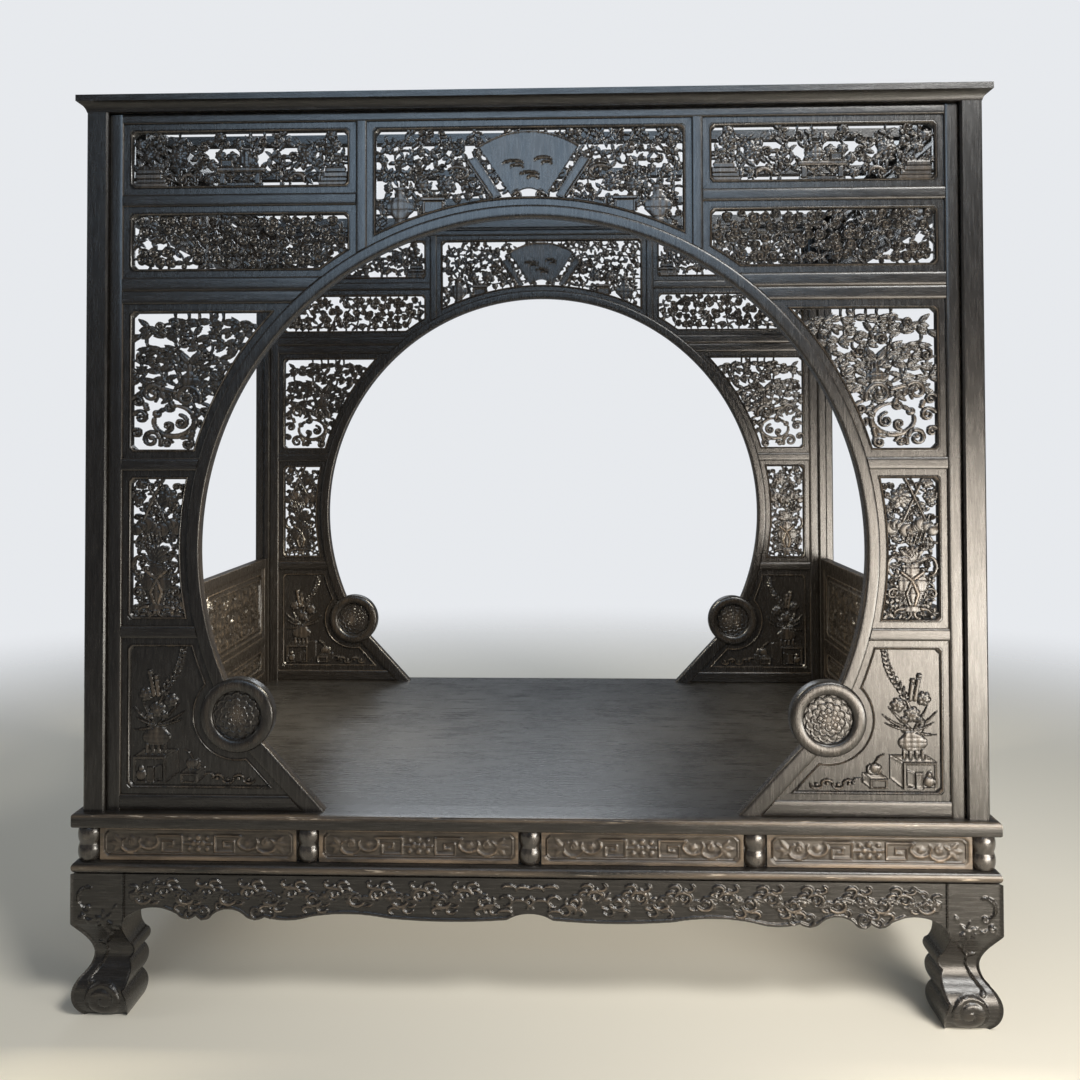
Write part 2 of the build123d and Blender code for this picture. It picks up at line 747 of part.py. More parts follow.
def railing_panels(fields, corner_cut):
    """Boards in the railing, sunk on both faces inside a plain border with cut corners."""
    with BuildPart() as boards:
        extrude(end_view(fields, -seat_gap), amount=panel_thickness / 2, both=True)
        extrude(end_view(fields, tongue_depth), amount=tongue_thickness / 2, both=True)
        with BuildSketch(end_mid) as ground:
            for bar in fields:
                with Locations(((bar.front + bar.back) / 2, (bar.low + bar.high) / 2)):
                    Rectangle(bar.back - bar.front - 2 * panel_margin,
                              bar.high - bar.low - 2 * panel_margin)
            chamfer(ground.vertices(), corner_cut)
        for face in SIDES:
            sunk = ground.sketch.moved(Location((face * (panel_thickness - relief_depth) / 2, 0, 0)))
            extrude(sunk, amount=relief_depth / 2, both=True, mode=Mode.SUBTRACT)
        mirror(about=Plane.YZ)
    return boards.part


def frieze_panels():
    """Pierced boards under the cornice at both ends, with a winding stem in each bay."""
    fields = end_bays(antiques_low, antiques_high)
    near = half_stile + panel_margin
    far = end_field_back - panel_margin
    branch = Branch((near, antiques_middle), (far, antiques_middle), 4, lintel_swing, 30.0)
    with BuildPart() as boards:
        extrude(end_view(fields, -seat_gap), amount=panel_thickness / 2, both=True)
        extrude(end_view(fields, tongue_depth), amount=tongue_thickness / 2, both=True)
        with BuildSketch(end_mid):
            for bar in fields:
                with Locations(((bar.front + bar.back) / 2, antiques_middle)):
                    Rectangle(far - near, antiques_top - antiques_bottom)
            draw_branch(branch)
        extrude(amount=panel_thickness / 2, both=True, mode=Mode.SUBTRACT)
        mirror(about=Plane.YZ)
    return boards.part


# ================================================================ corner posts
def corner_posts():
    """Four posts with grooves for the gates and the ends, and a tenon at each end."""
    groove_depth = stile_tongue_depth + joint_clearance
    groove_width = tenon_thickness + 2 * joint_clearance
    middle_x = post_outer_x - post_side / 2
    middle_y = post_outer_y - post_side / 2
    with BuildPart() as posts:
        with BuildSketch(Plane.XY.offset(deck_height)):
            with GridLocations(2 * middle_x, 2 * middle_y, 2, 2):
                Rectangle(post_side, post_side)
        extrude(amount=cornice_z - deck_height)
        chamfer(posts.edges().filter_by(Axis.Z), post_chamfer)
        with BuildSketch(Plane.XY.offset(deck_height)):
            for side in SIDES:
                with Locations((0, side * gate_mid_y)):
                    Rectangle(2 * (gate_outer_x + groove_depth), groove_width)
                with Locations((side * side_mid_x, 0)):
                    Rectangle(groove_width, 2 * (end_reach + groove_depth))
        extrude(amount=cornice_z - deck_height, mode=Mode.SUBTRACT)
        with BuildSketch(Plane.XY.offset(deck_height - post_tenon_depth)):
            with GridLocations(2 * middle_x, 2 * middle_y, 2, 2):
                Rectangle(post_tenon_side, post_tenon_side)
        extrude(amount=cornice_z - deck_height + 2 * post_tenon_depth)
    return posts.part


def post_mortises():
    """Mortises for the posts, cut down into the bed frame and up into the cornice."""
    with BuildSketch(Plane.XY.offset(deck_height - post_tenon_depth - joint_clearance)) as view:
        with GridLocations(canopy_width - post_side, canopy_depth - post_side, 2, 2):
            Rectangle(post_tenon_side + 2 * joint_clearance, post_tenon_side + 2 * joint_clearance)
    extrude(view.sketch, amount=cornice_z - deck_height + 2 * (post_tenon_depth + joint_clearance),
            mode=Mode.SUBTRACT)


# ================================================================ mitred frames
def mitred_pair(profile, width, along_front):
    """Two facing rails of a mitred frame, from a section drawn inwards and up from the outer edge.

    profile takes the plane to draw on and gives the section; width is how far it reaches inwards.
    """
    if along_front:
        plane = Plane(origin=(0, -bed_half_depth, 0), x_dir=(0, 1, 0), z_dir=(1, 0, 0))
        half_run, half_span, mirror_plane = bed_half_width, bed_half_depth, Plane.XZ
    else:
        plane = Plane(origin=(-bed_half_width, 0, 0), x_dir=(1, 0, 0), z_dir=(0, -1, 0))
        half_run, half_span, mirror_plane = bed_half_depth, bed_half_width, Plane.YZ
    corners = [(-half_run, -half_span), (half_run, -half_span),
               (half_run - width, width - half_span), (width - half_run, width - half_span)]
    if not along_front:
        corners = [(y, x) for x, y in corners]
    with BuildPart() as pair:
        extrude(profile(plane), amount=half_run, both=True)
        with BuildSketch(Plane.XY):
            with BuildLine():
                Polyline(*corners, close=True)
            make_face()
        extrude(amount=total_height, mode=Mode.INTERSECT)
        mirror(about=mirror_plane)
    return pair.part


def bed_frame_section(plane):
    """Flat rail with a rounded nose and a rebate for the deck boards."""
    with BuildSketch(plane) as section:
        with Locations((bed_frame_width / 2, deck_height - bed_frame_height / 2)):
            Rectangle(bed_frame_width, bed_frame_height)
        fillet(section.vertices().group_by(Axis.X if plane.x_dir.X else Axis.Y)[0], bed_frame_round)
        with Locations((bed_frame_width - rebate_width / 2, deck_height - board_thickness / 2)):
            Rectangle(rebate_width, board_thickness, mode=Mode.SUBTRACT)
    return section.sketch


def torus_section(plane):
    """Flat moulding with a half-round nose."""
    nose = torus_height / 2
    with BuildSketch(plane) as section:
        with Locations(((nose + torus_width) / 2, torus_low + nose)):
            Rectangle(torus_width - nose, torus_height)
        with Locations((nose, torus_low + nose)):
            Circle(nose)
    return section.sketch


def waist_section(plane):
    """Upright board set back behind the bed frame's edge."""
    with BuildSketch(plane) as section:
        with Locations((waist_setback + waist_board_thickness / 2, waist_low + waist_height / 2)):
            Rectangle(waist_board_thickness, waist_height)
    return section.sketch


def cornice_section(plane):
    """Flat roof rail whose edge falls from a fascia through a hollow to the posts."""
    with BuildSketch(plane) as section:
        with BuildLine():
            Polyline((0, total_height - fascia_height), (0, total_height), (cornice_width, total_height),
                     (cornice_width, cornice_z), (frame_overhang, cornice_z))
            SagittaArc((frame_overhang, cornice_z), (0, total_height - fascia_height), -4.0)
        make_face()
    return section.sketch


def bed_frame_rails(along_front):
    """Bed frame rails with the mortises of posts, gates, railings, legs and braces."""
    with BuildPart() as rails:
        add(mitred_pair(bed_frame_section, bed_frame_width, along_front))
        post_mortises()
        gate_feet = [t for t in side_stile_tenons + foot_tenons if t.low < deck_height]
        sockets = [tenon_view(gate_feet, joint_clearance)]
        sockets.append(sockets[0].moved(Location((0, 2 * gate_mid_y, 0))))
        sockets.append(end_view(railing_base_tenons, joint_clearance))
        sockets.append(sockets[2].moved(Location((2 * side_mid_x, 0, 0))))
        for socket in sockets:
            extrude(socket, amount=tenon_thickness / 2 + joint_clearance, both=True, mode=Mode.SUBTRACT)
        extrude(leg_tenon_view(joint_clearance), amount=deck_height - torus_low - bed_frame_height
                + leg_tenon_entry + joint_clearance, mode=Mode.SUBTRACT)
        extrude(brace_tenon_view(joint_clearance), amount=brace_tenon_height + joint_clearance,
                mode=Mode.SUBTRACT)
    return rails.part


def leg_tenon_view(grow=0.0):
    """Plan of the tenons that the legs send up through the torus moulding."""
    middle_x = bed_half_width - leg_tenon_inset - leg_tenon_side / 2
    middle_y = bed_half_depth - leg_tenon_inset - leg_tenon_side / 2
    with BuildSketch(Plane.XY.offset(torus_low)) as view:
        with GridLocations(2 * middle_x, 2 * middle_y, 2, 2):
            Rectangle(leg_tenon_side + 2 * grow, leg_tenon_side + 2 * grow)
    return view.sketch


# ================================================================ deck
deck_half_x = bed_half_width - bed_frame_width
deck_half_y = bed_half_depth - bed_frame_width
board_low = deck_height - board_thickness
brace_pitch = 2 * deck_half_x / (brace_count + 1)
brace_tenon_low = board_low - brace_tenon_height - (board_low - bed_frame_low - brace_tenon_height) / 2


def brace_tenon_view(grow=0.0):
    """Plan of the braces with their tenons in the long rails."""
    with BuildSketch(Plane.XY.offset(brace_tenon_low)) as view:
        with GridLocations(brace_pitch, 1, brace_count, 1):
            Rectangle(brace_width + 2 * grow, 2 * (deck_half_y + brace_tenon_length + grow))
    return view.sketch


def deck_boards():
    """Boards side by side in the rebate of the bed frame."""
    reach_x = deck_half_x + rebate_width - seat_gap
    reach_y = deck_half_y + rebate_width - seat_gap
    pitch = 2 * reach_y / board_count
    with BuildPart() as boards:
        with BuildSketch(Plane.XY.offset(board_low)):
            with GridLocations(1, pitch, 1, board_count):
                Rectangle(2 * reach_x, pitch - board_gap)
        extrude(amount=board_thickness)
    return boards.part


def deck_braces():
    """Cross braces under the boards, tenoned into the long rails."""
    with BuildPart() as braces:
        with BuildSketch(Plane.XY.offset(board_low - brace_height)):
            with GridLocations(brace_pitch, 1, brace_count, 1):
                Rectangle(brace_width, 2 * deck_half_y - 2 * seat_gap)
        extrude(amount=brace_height)
        extrude(brace_tenon_view(), amount=brace_tenon_height)
    return braces.part


# ================================================================ waist
front_columns = [number * waist_column_pitch for number in (-1, 0, 1)]
front_panel_length = waist_column_pitch - waist_column_width
end_panel_length = ((2 * (bed_half_depth - waist_corner_reach)
                     - (waist_end_panels - 1) * waist_column_width) / waist_end_panels)
end_column_pitch = end_panel_length + waist_column_width
end_columns = [(number - (waist_end_panels - 2) / 2) * end_column_pitch
               for number in range(waist_end_panels - 1)]


def waist_columns():
    """Split bamboo columns planted on the waist, and a three-quarter column at each corner.

    Each has two many-sided drums with a narrower neck between them.
    """
    sunk = waist_column_radius - waist_column_proud
    face_x = bed_half_width - waist_setback
    face_y = bed_half_depth - waist_setback
    places = [(x, side * (face_y - sunk)) for x in front_columns for side in SIDES]
    places += [(side * (face_x - sunk), y) for y in end_columns for side in SIDES]
    places += [(sx * (bed_half_width - waist_corner_inset), sy * (bed_half_depth - waist_corner_inset))
               for sx in SIDES for sy in SIDES]
    drum_height = (waist_height - column_neck_height) / 2
    levels = [(waist_low, waist_column_radius, drum_height),
              (waist_low + drum_height, waist_column_radius - column_neck, column_neck_height),
              (waist_low + drum_height + column_neck_height, waist_column_radius, drum_height)]
    with BuildPart() as columns:
        for level, radius, height in levels:
            with BuildSketch(Plane.XY.offset(level)):
                with Locations(*places):
                    RegularPolygon(radius, column_sides)
                Rectangle(2 * face_x, 2 * face_y, mode=Mode.SUBTRACT)
            extrude(amount=height)
    return columns.part


def waist_panels():
    """Carved boards between the columns, with a sunk ground cut at the corners."""
    height = waist_height - 2 * waist_panel_gap
    front_spans = [(number, front_panel_length) for number in (-1.5, -0.5, 0.5, 1.5)]
    face_y = bed_half_depth - waist_setback
    face_x = bed_half_width - waist_setback
    front_plane = Plane.XZ.offset(face_y)
    end_plane = Plane(origin=(-face_x, 0, 0), x_dir=(0, -1, 0), z_dir=(-1, 0, 0))
    end_spans = [(number - (waist_end_panels - 1) / 2, end_panel_length)
                 for number in range(waist_end_panels)]
    with BuildPart() as panels:
        for plane, places, pitch in ((front_plane, front_spans, waist_column_pitch),
                                     (end_plane, end_spans, end_column_pitch)):
            for number, length in places:
                middle = (number * pitch, waist_low + waist_height / 2)
                with BuildSketch(plane):
                    with Locations(middle):
                        Rectangle(length, height)
                extrude(amount=waist_panel_thickness)
                with BuildSketch(plane.offset(waist_panel_thickness - waist_panel_recess)):
                    with Locations(middle):
                        ground = Rectangle(length - 2 * waist_panel_border,
                                           height - 2 * waist_panel_border)
                    chamfer(ground.vertices(), waist_corner_cut)
                extrude(amount=waist_panel_recess, mode=Mode.SUBTRACT)
        mirror(about=Plane.XZ)
        mirror(about=Plane.YZ)
    return panels.part


# ================================================================ aprons
def draw_apron(half_span, long_wave):
    """Outline of an apron: a straight top, and a lower edge of an arch and two lobes beside each
    leg, a swag, a long wave where there is room for it, and a small cusped arch in the middle.

    The edge is given as pairs of distance from the leg's shoulder and height; the middle points of
    its arcs stand between their ends.
    """
    shoulder_z = 244.0
    arch_z = torus_low - apron_arch_height
    swag_end = 451.0
    swag_z = 252.0
    cusp = 55.0
    cusp_z = 251.0
    crown_z = 266.0
    by_leg = [(0, shoulder_z), (72, arch_z), (129, 255.0), (155, 243.0), (175, 252.0), (200, 242.0),
              (215, 254.0), (238, 266.0), (300, 248.0), (320, 243.0), (342, 250.0), (395, 243.0),
              (swag_end, swag_z)]
    wave_start = half_span - swag_end
    wave_run = wave_start - cusp
    if long_wave:
        wave = [(0.16, 260.0), (0.40, 251.0), (0.72, 245.0), (1.0, cusp_z)]
    else:
        wave = [(0.5, 247.0), (1.0, cusp_z)]
    edge = [(half_span - s, z) for s, z in by_leg]
    edge += [(wave_start - share * wave_run, z) for share, z in wave]
    edge += [(cusp * 0.55, 262.0), (0, crown_z)]
    Polyline((half_span, shoulder_z), (half_span, torus_low), (-half_span, torus_low),
             (-half_span, shoulder_z))
    for side in SIDES:
        for number in range(0, len(edge) - 2, 2):
            ends = [(side * x, z) for x, z in edge[number:number + 3]]
            ThreePointArc(*ends)


def apron(plane, half_span, long_wave, swap):
    """One apron with its tenons in the legs."""
    inwards = -apron_thickness
    tenon_z = torus_low - apron_tenon_drop - apron_tenon_height / 2
    with BuildPart() as board:
        with BuildSketch(plane):
            with BuildLine():
                draw_apron(half_span, long_wave)
            make_face()
        extrude(amount=inwards if not swap else -inwards)
        extrude(apron_tenon_view(plane, half_span, tenon_z, swap), amount=apron_tenon_thickness / 2,
                both=True)
    return board.part


def apron_tenon_view(plane, half_span, tenon_z, swap, grow=0.0):
    """The apron's tenons, seen square to its face, in the middle of its thickness."""
    middle = plane.offset(apron_thickness / 2 if swap else -apron_thickness / 2)
    with BuildSketch(middle) as view:
        for side in SIDES:
            with Locations((side * (half_span + apron_tenon_length / 2 - tenon_root / 2), tenon_z)):
                Rectangle(apron_tenon_length + tenon_root + 2 * grow, apron_tenon_height + 2 * grow)
    return view.sketch


# ================================================================ legs
def leg_view(plane, inward):
    """Side view of a cabriole leg with a scroll foot: the outer edge is one S from the shoulder to
    the foot, and the inner edge has three swellings.  Distances run inwards from the outer corner.
    """
    upper_step = (leg_waist_inset / 2, (leg_shoulder_z + leg_waist_z) / 2)
    lower_step = ((leg_waist_inset + foot_inset) / 2, (leg_waist_z + foot_widest_z) / 2)
    bumps = [((133.0, 171.0), (142.0, 150.0), (130.0, 130.0)),
             ((130.0, 130.0), (139.0, 102.0), (127.0, 67.0)),
             ((127.0, 67.0), (138.0, 34.0), (130.0, 0.0))]
    neck = [(leg_width, 240.0), (124.0, 207.0), (133.0, 171.0)]

    def at(point):
        return (inward * point[0], point[1])

    with BuildSketch(plane) as view:
        with BuildLine():
            Line(at((0, torus_low)), at((0, leg_shoulder_z)))
            TangentArc(at((0, leg_shoulder_z)), at(upper_step), tangent=(0, -1))
            TangentArc(at((leg_waist_inset, leg_waist_z)), at(upper_step), tangent=(0, 1))
            TangentArc(at((leg_waist_inset, leg_waist_z)), at(lower_step), tangent=(0, -1))
            TangentArc(at((foot_inset, foot_widest_z)), at(lower_step), tangent=(0, 1))
            TangentArc(at((foot_inset, foot_widest_z)), at((sole_inset, 0)), tangent=(0, -1))
            Line(at((sole_inset, 0)), at(bumps[-1][-1]))
            for bump in reversed(bumps):
                ThreePointArc(*[at(point) for point in bump])
            ThreePointArc(*[at(point) for point in neck])
            Polyline(at(neck[0]), at((leg_width, torus_low)), at((0, torus_low)))
        make_face()
    return view.sketch


def legs(back):
    """The pair of legs at the front or the back, with the tenons that lock the waist together."""
    reach = 2 * leg_width
    corner_front = Plane(origin=(-bed_half_width, -bed_half_depth, 0), x_dir=(1, 0, 0), z_dir=(0, -1, 0))
    corner_end = Plane(origin=(-bed_half_width, -bed_half_depth, 0), x_dir=(0, 1, 0), z_dir=(1, 0, 0))
    tenon_z = torus_low - apron_tenon_drop - apron_tenon_height / 2
    tenon_top = bed_frame_low + leg_tenon_entry
    middle = bed_half_width - leg_tenon_inset - leg_tenon_side / 2
    middle_y = bed_half_depth - leg_tenon_inset - leg_tenon_side / 2
    with BuildPart() as pair:
        extrude(leg_view(corner_front, 1), amount=-reach)
        extrude(leg_view(corner_end, 1), amount=reach, mode=Mode.INTERSECT)
        for view in (apron_tenon_view(front_face, leg_inner_x, tenon_z, False, joint_clearance),
                     apron_tenon_view(left_face, leg_inner_y, tenon_z, True, joint_clearance)):
            extrude(view, amount=apron_tenon_thickness / 2 + joint_clearance, both=True,
                    mode=Mode.SUBTRACT)
        with BuildSketch(Plane.XY.offset(torus_low)):
            with Locations((-middle, -middle_y)):
                Rectangle(leg_tenon_side, leg_tenon_side)
        extrude(amount=tenon_top - torus_low)
        mirror(about=Plane.YZ)
    if back:
        with BuildPart() as turned:
            mirror(pair.part, about=Plane.XZ)
        return turned.part
    return pair.part


# ================================================================ roof
def battens():
    """Battens across the open roof, housed in the end rails of the cornice."""
    reach = bed_half_width - cornice_width + batten_housing
    pitch = 2 * bed_half_depth / (batten_count + 1)
    with BuildPart() as bars:
        with BuildSketch(Plane.XY.offset(total_height - batten_height)):
            with GridLocations(1, pitch, 1, batten_count):
                Rectangle(2 * reach, batten_width)
        extrude(amount=batten_height)
    return bars.part


def cornice(along_front):
    """Cornice rails with the mortises of the posts and the housings of the battens."""
    reach = bed_half_width - cornice_width + batten_housing + joint_clearance
    pitch = 2 * bed_half_depth / (batten_count + 1)
    with BuildPart() as rails:
        add(mitred_pair(cornice_section, cornice_width, along_front))
        post_mortises()
        with BuildSketch(Plane.XY.offset(total_height - batten_height)):
            with GridLocations(1, pitch, 1, batten_count):
                Rectangle(2 * reach, batten_width + 2 * joint_clearance)
        extrude(amount=batten_height, mode=Mode.SUBTRACT)
    return rails.part


def torus(along_front):
    """Two facing rails of the torus moulding, notched for the legs' tenons."""
    with BuildPart() as rails:
        add(mitred_pair(torus_section, torus_width, along_front))
        extrude(leg_tenon_view(joint_clearance), amount=torus_height, mode=Mode.SUBTRACT)
    return rails.part


# ================================================================ assembly
def write(part, label):
    """Labels a finished node and writes its STEP file."""
    part.label = label
    export_step(part, f"parts/{label}.step")


def write_gate_node(part, name):
    """Writes a gate node at the front, and its mirror image at the back."""
    write(part, f"front_{name}")
    with BuildPart() as back:
        mirror(part, about=Plane.XZ)
    write(back.part, f"back_{name}")


os.makedirs("parts", exist_ok=True)

gate_nodes = {
    "top_rail": top_rail(),
    "lintel_stiles": stiles(split_z, gate_top_z, []),
    "mullions": mullions(),
    "lintel_rails": gate_member(gate_view([lintel_mid_rail, lintel_low_rail]), lintel_rail_tenons),
    "arch": arch(),
    "side_stiles": stiles(deck_height, split_z, side_stile_tenons),
    "side_rails": gate_member(gate_view(side_rails + [bottom_rail], foot=True), side_rail_tenons),
    "ring_sides": ring_sides(),
    "foot_rails": foot_rails(),
    "roundels": roundels(),
    "antiques_panels": pierced_panel(antiques_field, antiques_branches, draw_antiques),
    "cloud_panels": pierced_panel(cloud_field, cloud_branches),
    "fan_panel": pierced_panel(fan_field, fan_branches, draw_fan),
    "spandrel_panels": pierced_panel(spandrel_field, spandrel_branches),
    "tall_panels": pierced_panel(tall_field, tall_branches, draw_vase),
    "relief_panels": relief_panels(),
}
for node_name, node_part in gate_nodes.items():
    write_gate_node(node_part, node_name)

write(end_stile_pieces(), "end_stiles")
write(end_member(railing_rail_bars, end_rail_tenons[:6]), "railing_rails")
write(end_member(frieze_rail_bars, end_rail_tenons[6:]), "frieze_rails")
write(end_member(railing_middle_bars + frieze_middle_bars, end_middle_tenons), "end_middle_stiles")
write(railing_panels(end_bays(railing_upper_low, railing_upper_high), cartouche_corner),
      "railing_upper_panels")
write(railing_panels(end_bays(railing_lower_low, railing_lower_high), lower_field_corner),
      "railing_lower_panels")
write(frieze_panels(), "frieze_panels")
write(corner_posts(), "corner_posts")

write(bed_frame_rails(True), "bed_frame_long_rails")
write(bed_frame_rails(False), "bed_frame_short_rails")
write(deck_boards(), "deck_boards")
write(deck_braces(), "deck_braces")
write(mitred_pair(waist_section, waist_setback + waist_board_thickness, True), "waist_long_boards")
write(mitred_pair(waist_section, waist_setback + waist_board_thickness, False), "waist_short_boards")
write(waist_panels(), "waist_panels")
write(waist_columns(), "waist_columns")
write(torus(True), "torus_long_rails")
write(torus(False), "torus_short_rails")
write(legs(False), "front_legs")
write(legs(True), "back_legs")

front_apron = apron(front_face, leg_inner_x, True, False)
left_apron = apron(left_face, leg_inner_y, False, True)
write(front_apron, "front_apron")
write(left_apron, "left_apron")
with BuildPart() as back_apron:
    mirror(front_apron, about=Plane.XZ)
write(back_apron.part, "back_apron")
with BuildPart() as right_apron:
    mirror(left_apron, about=Plane.YZ)
write(right_apron.part, "right_apron")

write(cornice(True), "cornice_long_rails")
write(cornice(False), "cornice_short_rails")
write(battens(), "roof_battens")
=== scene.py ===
"""Looks of a Chinese moon-gate canopy bed: carved openwork, moulded members, finishes and light."""

import logging
import math
from collections.abc import Callable, Sequence
from dataclasses import dataclass, field
from enum import Enum

import bpy
import numpy as np
from mathutils import Matrix, Vector

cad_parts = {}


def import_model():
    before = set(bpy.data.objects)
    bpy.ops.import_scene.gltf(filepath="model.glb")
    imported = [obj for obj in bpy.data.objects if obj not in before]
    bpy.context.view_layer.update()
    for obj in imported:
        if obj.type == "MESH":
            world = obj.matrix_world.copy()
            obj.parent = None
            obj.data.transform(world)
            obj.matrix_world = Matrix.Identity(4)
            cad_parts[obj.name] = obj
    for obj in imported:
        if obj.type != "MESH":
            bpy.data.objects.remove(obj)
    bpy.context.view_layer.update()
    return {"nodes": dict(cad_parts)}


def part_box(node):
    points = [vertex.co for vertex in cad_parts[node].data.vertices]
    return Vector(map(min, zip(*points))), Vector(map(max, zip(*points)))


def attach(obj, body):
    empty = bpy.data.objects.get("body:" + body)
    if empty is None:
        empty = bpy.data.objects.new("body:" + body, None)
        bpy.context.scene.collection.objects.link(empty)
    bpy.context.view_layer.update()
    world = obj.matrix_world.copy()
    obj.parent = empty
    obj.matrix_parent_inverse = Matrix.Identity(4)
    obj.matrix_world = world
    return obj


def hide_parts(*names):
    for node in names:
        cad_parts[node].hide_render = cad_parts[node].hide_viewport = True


Array = np.ndarray
Point = tuple[float, float] | np.ndarray  # a place on a face, across and up
Triple = tuple[float, float, float]
Distance = Callable[[Array, Array], Array]  # distance to a border at places across and up
Path = Callable[[Array, float], Array]  # points across a member at a share of its length
Curve = Callable[[Array], Array]
MM = 0.001
LAP = 2.0  # how far a panel's carving reaches under its border
SIDES = (-1, 1)
TO_RIGHT_END = np.array([[0.0, -1.0, 0.0], [1.0, 0.0, 0.0], [0.0, 0.0, 1.0]])  # front turned to face +X
LOG = logging.getLogger("canopy_bed")


class Ornament(Enum):
    """What stands where stems of a carved foliage meet."""

    LEAVES = "leaves"
    FROND = "frond"
    FLOWER = "flower"
    CURL = "curl"
    WHORL = "whorl"


class Face(Enum):
    """A side of the bed, with the sign of its Y."""

    FRONT = -1
    BACK = 1


# ================================================================ finishes
class NodeGroup:
    """A small shader node group with named sockets."""

    def __init__(self, name: str, inputs: dict[str, float], outputs: Sequence[str]) -> None:
        """Opens the group.  Its first input is the place, named Vector.

        Args:
            name: The group's name.
            inputs: Name and default of every number that it takes.
            outputs: Name of every number that it gives.
        """
        self.tree = bpy.data.node_groups.new(name, "ShaderNodeTree")
        self.tree.interface.new_socket("Vector", in_out="INPUT", socket_type="NodeSocketVector")
        for label, default in inputs.items():
            socket = self.tree.interface.new_socket(label, in_out="INPUT", socket_type="NodeSocketFloat")
            socket.default_value = default
        for label in outputs:
            self.tree.interface.new_socket(label, in_out="OUTPUT", socket_type="NodeSocketFloat")
        self.entry = self.tree.nodes.new("NodeGroupInput").outputs
        self.exit = self.tree.nodes.new("NodeGroupOutput").inputs

    def node(self, kind: str, links: dict[str | int, object] | None = None, **settings: object) -> object:
        """Adds a node.

        Args:
            kind: The node's type name.
            links: Input name or number to a socket to link or a constant value.
            settings: Attributes to set on the node.

        Returns:
            The new node.
        """
        return add_node(self.tree, kind, links, **settings)

    def spread(self, value: object, low: float, high: float) -> object:
        """Spreads a value from 0 to 1.

        Args:
            value: The value's socket.
            low: What becomes 0.
            high: What becomes 1.

        Returns:
            The result's socket.
        """
        links = {"Value": value, "From Min": low, "From Max": high}
        return self.node("ShaderNodeMapRange", links).outputs["Result"]

    def noise(self, scale: float, detail: float, roughness: float, low: float, high: float) -> object:
        """Adds a noise pattern over the group's place, spread from 0 to 1.

        Args:
            scale: How fine it is.
            detail: How many finer layers it has.
            roughness: How strong they are.
            low: What becomes 0.
            high: What becomes 1.

        Returns:
            The result's socket.
        """
        links = {"Vector": self.entry["Vector"], "Scale": scale, "Detail": detail, "Roughness": roughness}
        return self.spread(self.node("ShaderNodeTexNoise", links).outputs["Fac"], low, high)

    def times(self, first: object, second: object, clamp: bool = False) -> object:
        """Multiplies two values.

        Args:
            first: One socket.
            second: The other.
            clamp: Whether the result is held from 0 to 1.

        Returns:
            The result's socket.
        """
        return self.node("ShaderNodeMath", {0: first, 1: second}, operation="MULTIPLY",
                         use_clamp=clamp).outputs[0]

    def send(self, label: str, socket: object) -> None:
        """Links a socket to one of the group's outputs.

        Args:
            label: The output's name.
            socket: What feeds it.
        """
        self.tree.links.new(socket, self.exit[label])


def add_node(tree: object, kind: str, links: dict[str | int, object] | None = None,
             **settings: object) -> object:
    """Adds a node to a tree and links or sets its inputs.

    Args:
        tree: The node tree.
        kind: The node's type name.
        links: Input name or number to a socket to link or a constant value.
        settings: Attributes to set on the node.

    Returns:
        The new node.
    """
    node = tree.nodes.new(kind)
    for label, value in settings.items():
        setattr(node, label, value)
    for label, value in (links or {}).items():
        if isinstance(value, bpy.types.NodeSocket):
            tree.links.new(value, node.inputs[label])
        else:
            node.inputs[label].default_value = value
    return node


def grain_group() -> object:
    """Builds the wood grain: long streaks and fine pores along the grain's axis.

    Returns:
        The node tree, with Streaks and Pores from 0 to 1.
    """
    group = NodeGroup("Wood grain", {}, ("Streaks", "Pores"))
    group.send("Streaks", group.noise(24.0, 5.0, 0.62, 0.32, 0.7))
    group.send("Pores", group.noise(170.0, 2.0, 0.6, 0.42, 0.62))
    return group.tree


def wear_and_highlight_group() -> object:
    """Builds the mask of rubbing and painted highlight: raised places lighter in streaks along the grain,
    with a few bare chips.

    Returns:
        The node tree, with the mask of rubbing and painted highlight and the Chips mask, from 0 to 1.
    """
    group = NodeGroup("Edge wear", {"Raised": 0.0, "Amount": 0.5, "Chipped": 0.3}, ("Rubbed", "Chips"))
    patchy = group.noise(4.5, 5.0, 0.65, 0.36, 0.62)
    nicked = group.noise(19.0, 6.0, 0.7, 0.60, 0.66)
    raised = group.node("ShaderNodeMath", {0: group.entry["Raised"], 1: 3.5}, operation="POWER")
    # raised places turn lighter: real rubbing, and on edges and crests a painted highlight
    rubbed = group.times(raised.outputs[0], patchy)
    worn = group.times(group.spread(group.entry["Raised"], 0.8, 0.97), group.entry["Chipped"])
    group.send("Rubbed", group.times(rubbed, group.entry["Amount"], True))
    group.send("Chips", group.times(nicked, worn, True))
    return group.tree


def dust_group() -> object:
    """Builds the dust mask: a thin patchy film on what faces up.

    Returns:
        The node tree, with Dust from 0 to 1.
    """
    group = NodeGroup("Dust", {"Amount": 0.3}, ("Dust",))
    normal = group.node("ShaderNodeNewGeometry").outputs["Normal"]
    up = group.node("ShaderNodeSeparateXYZ", {0: normal}).outputs["Z"]
    film = group.times(group.spread(up, 0.5, 0.95), group.noise(5.0, 5.0, 0.7, 0.35, 0.75))
    group.send("Dust", group.times(film, group.entry["Amount"]))
    return group.tree


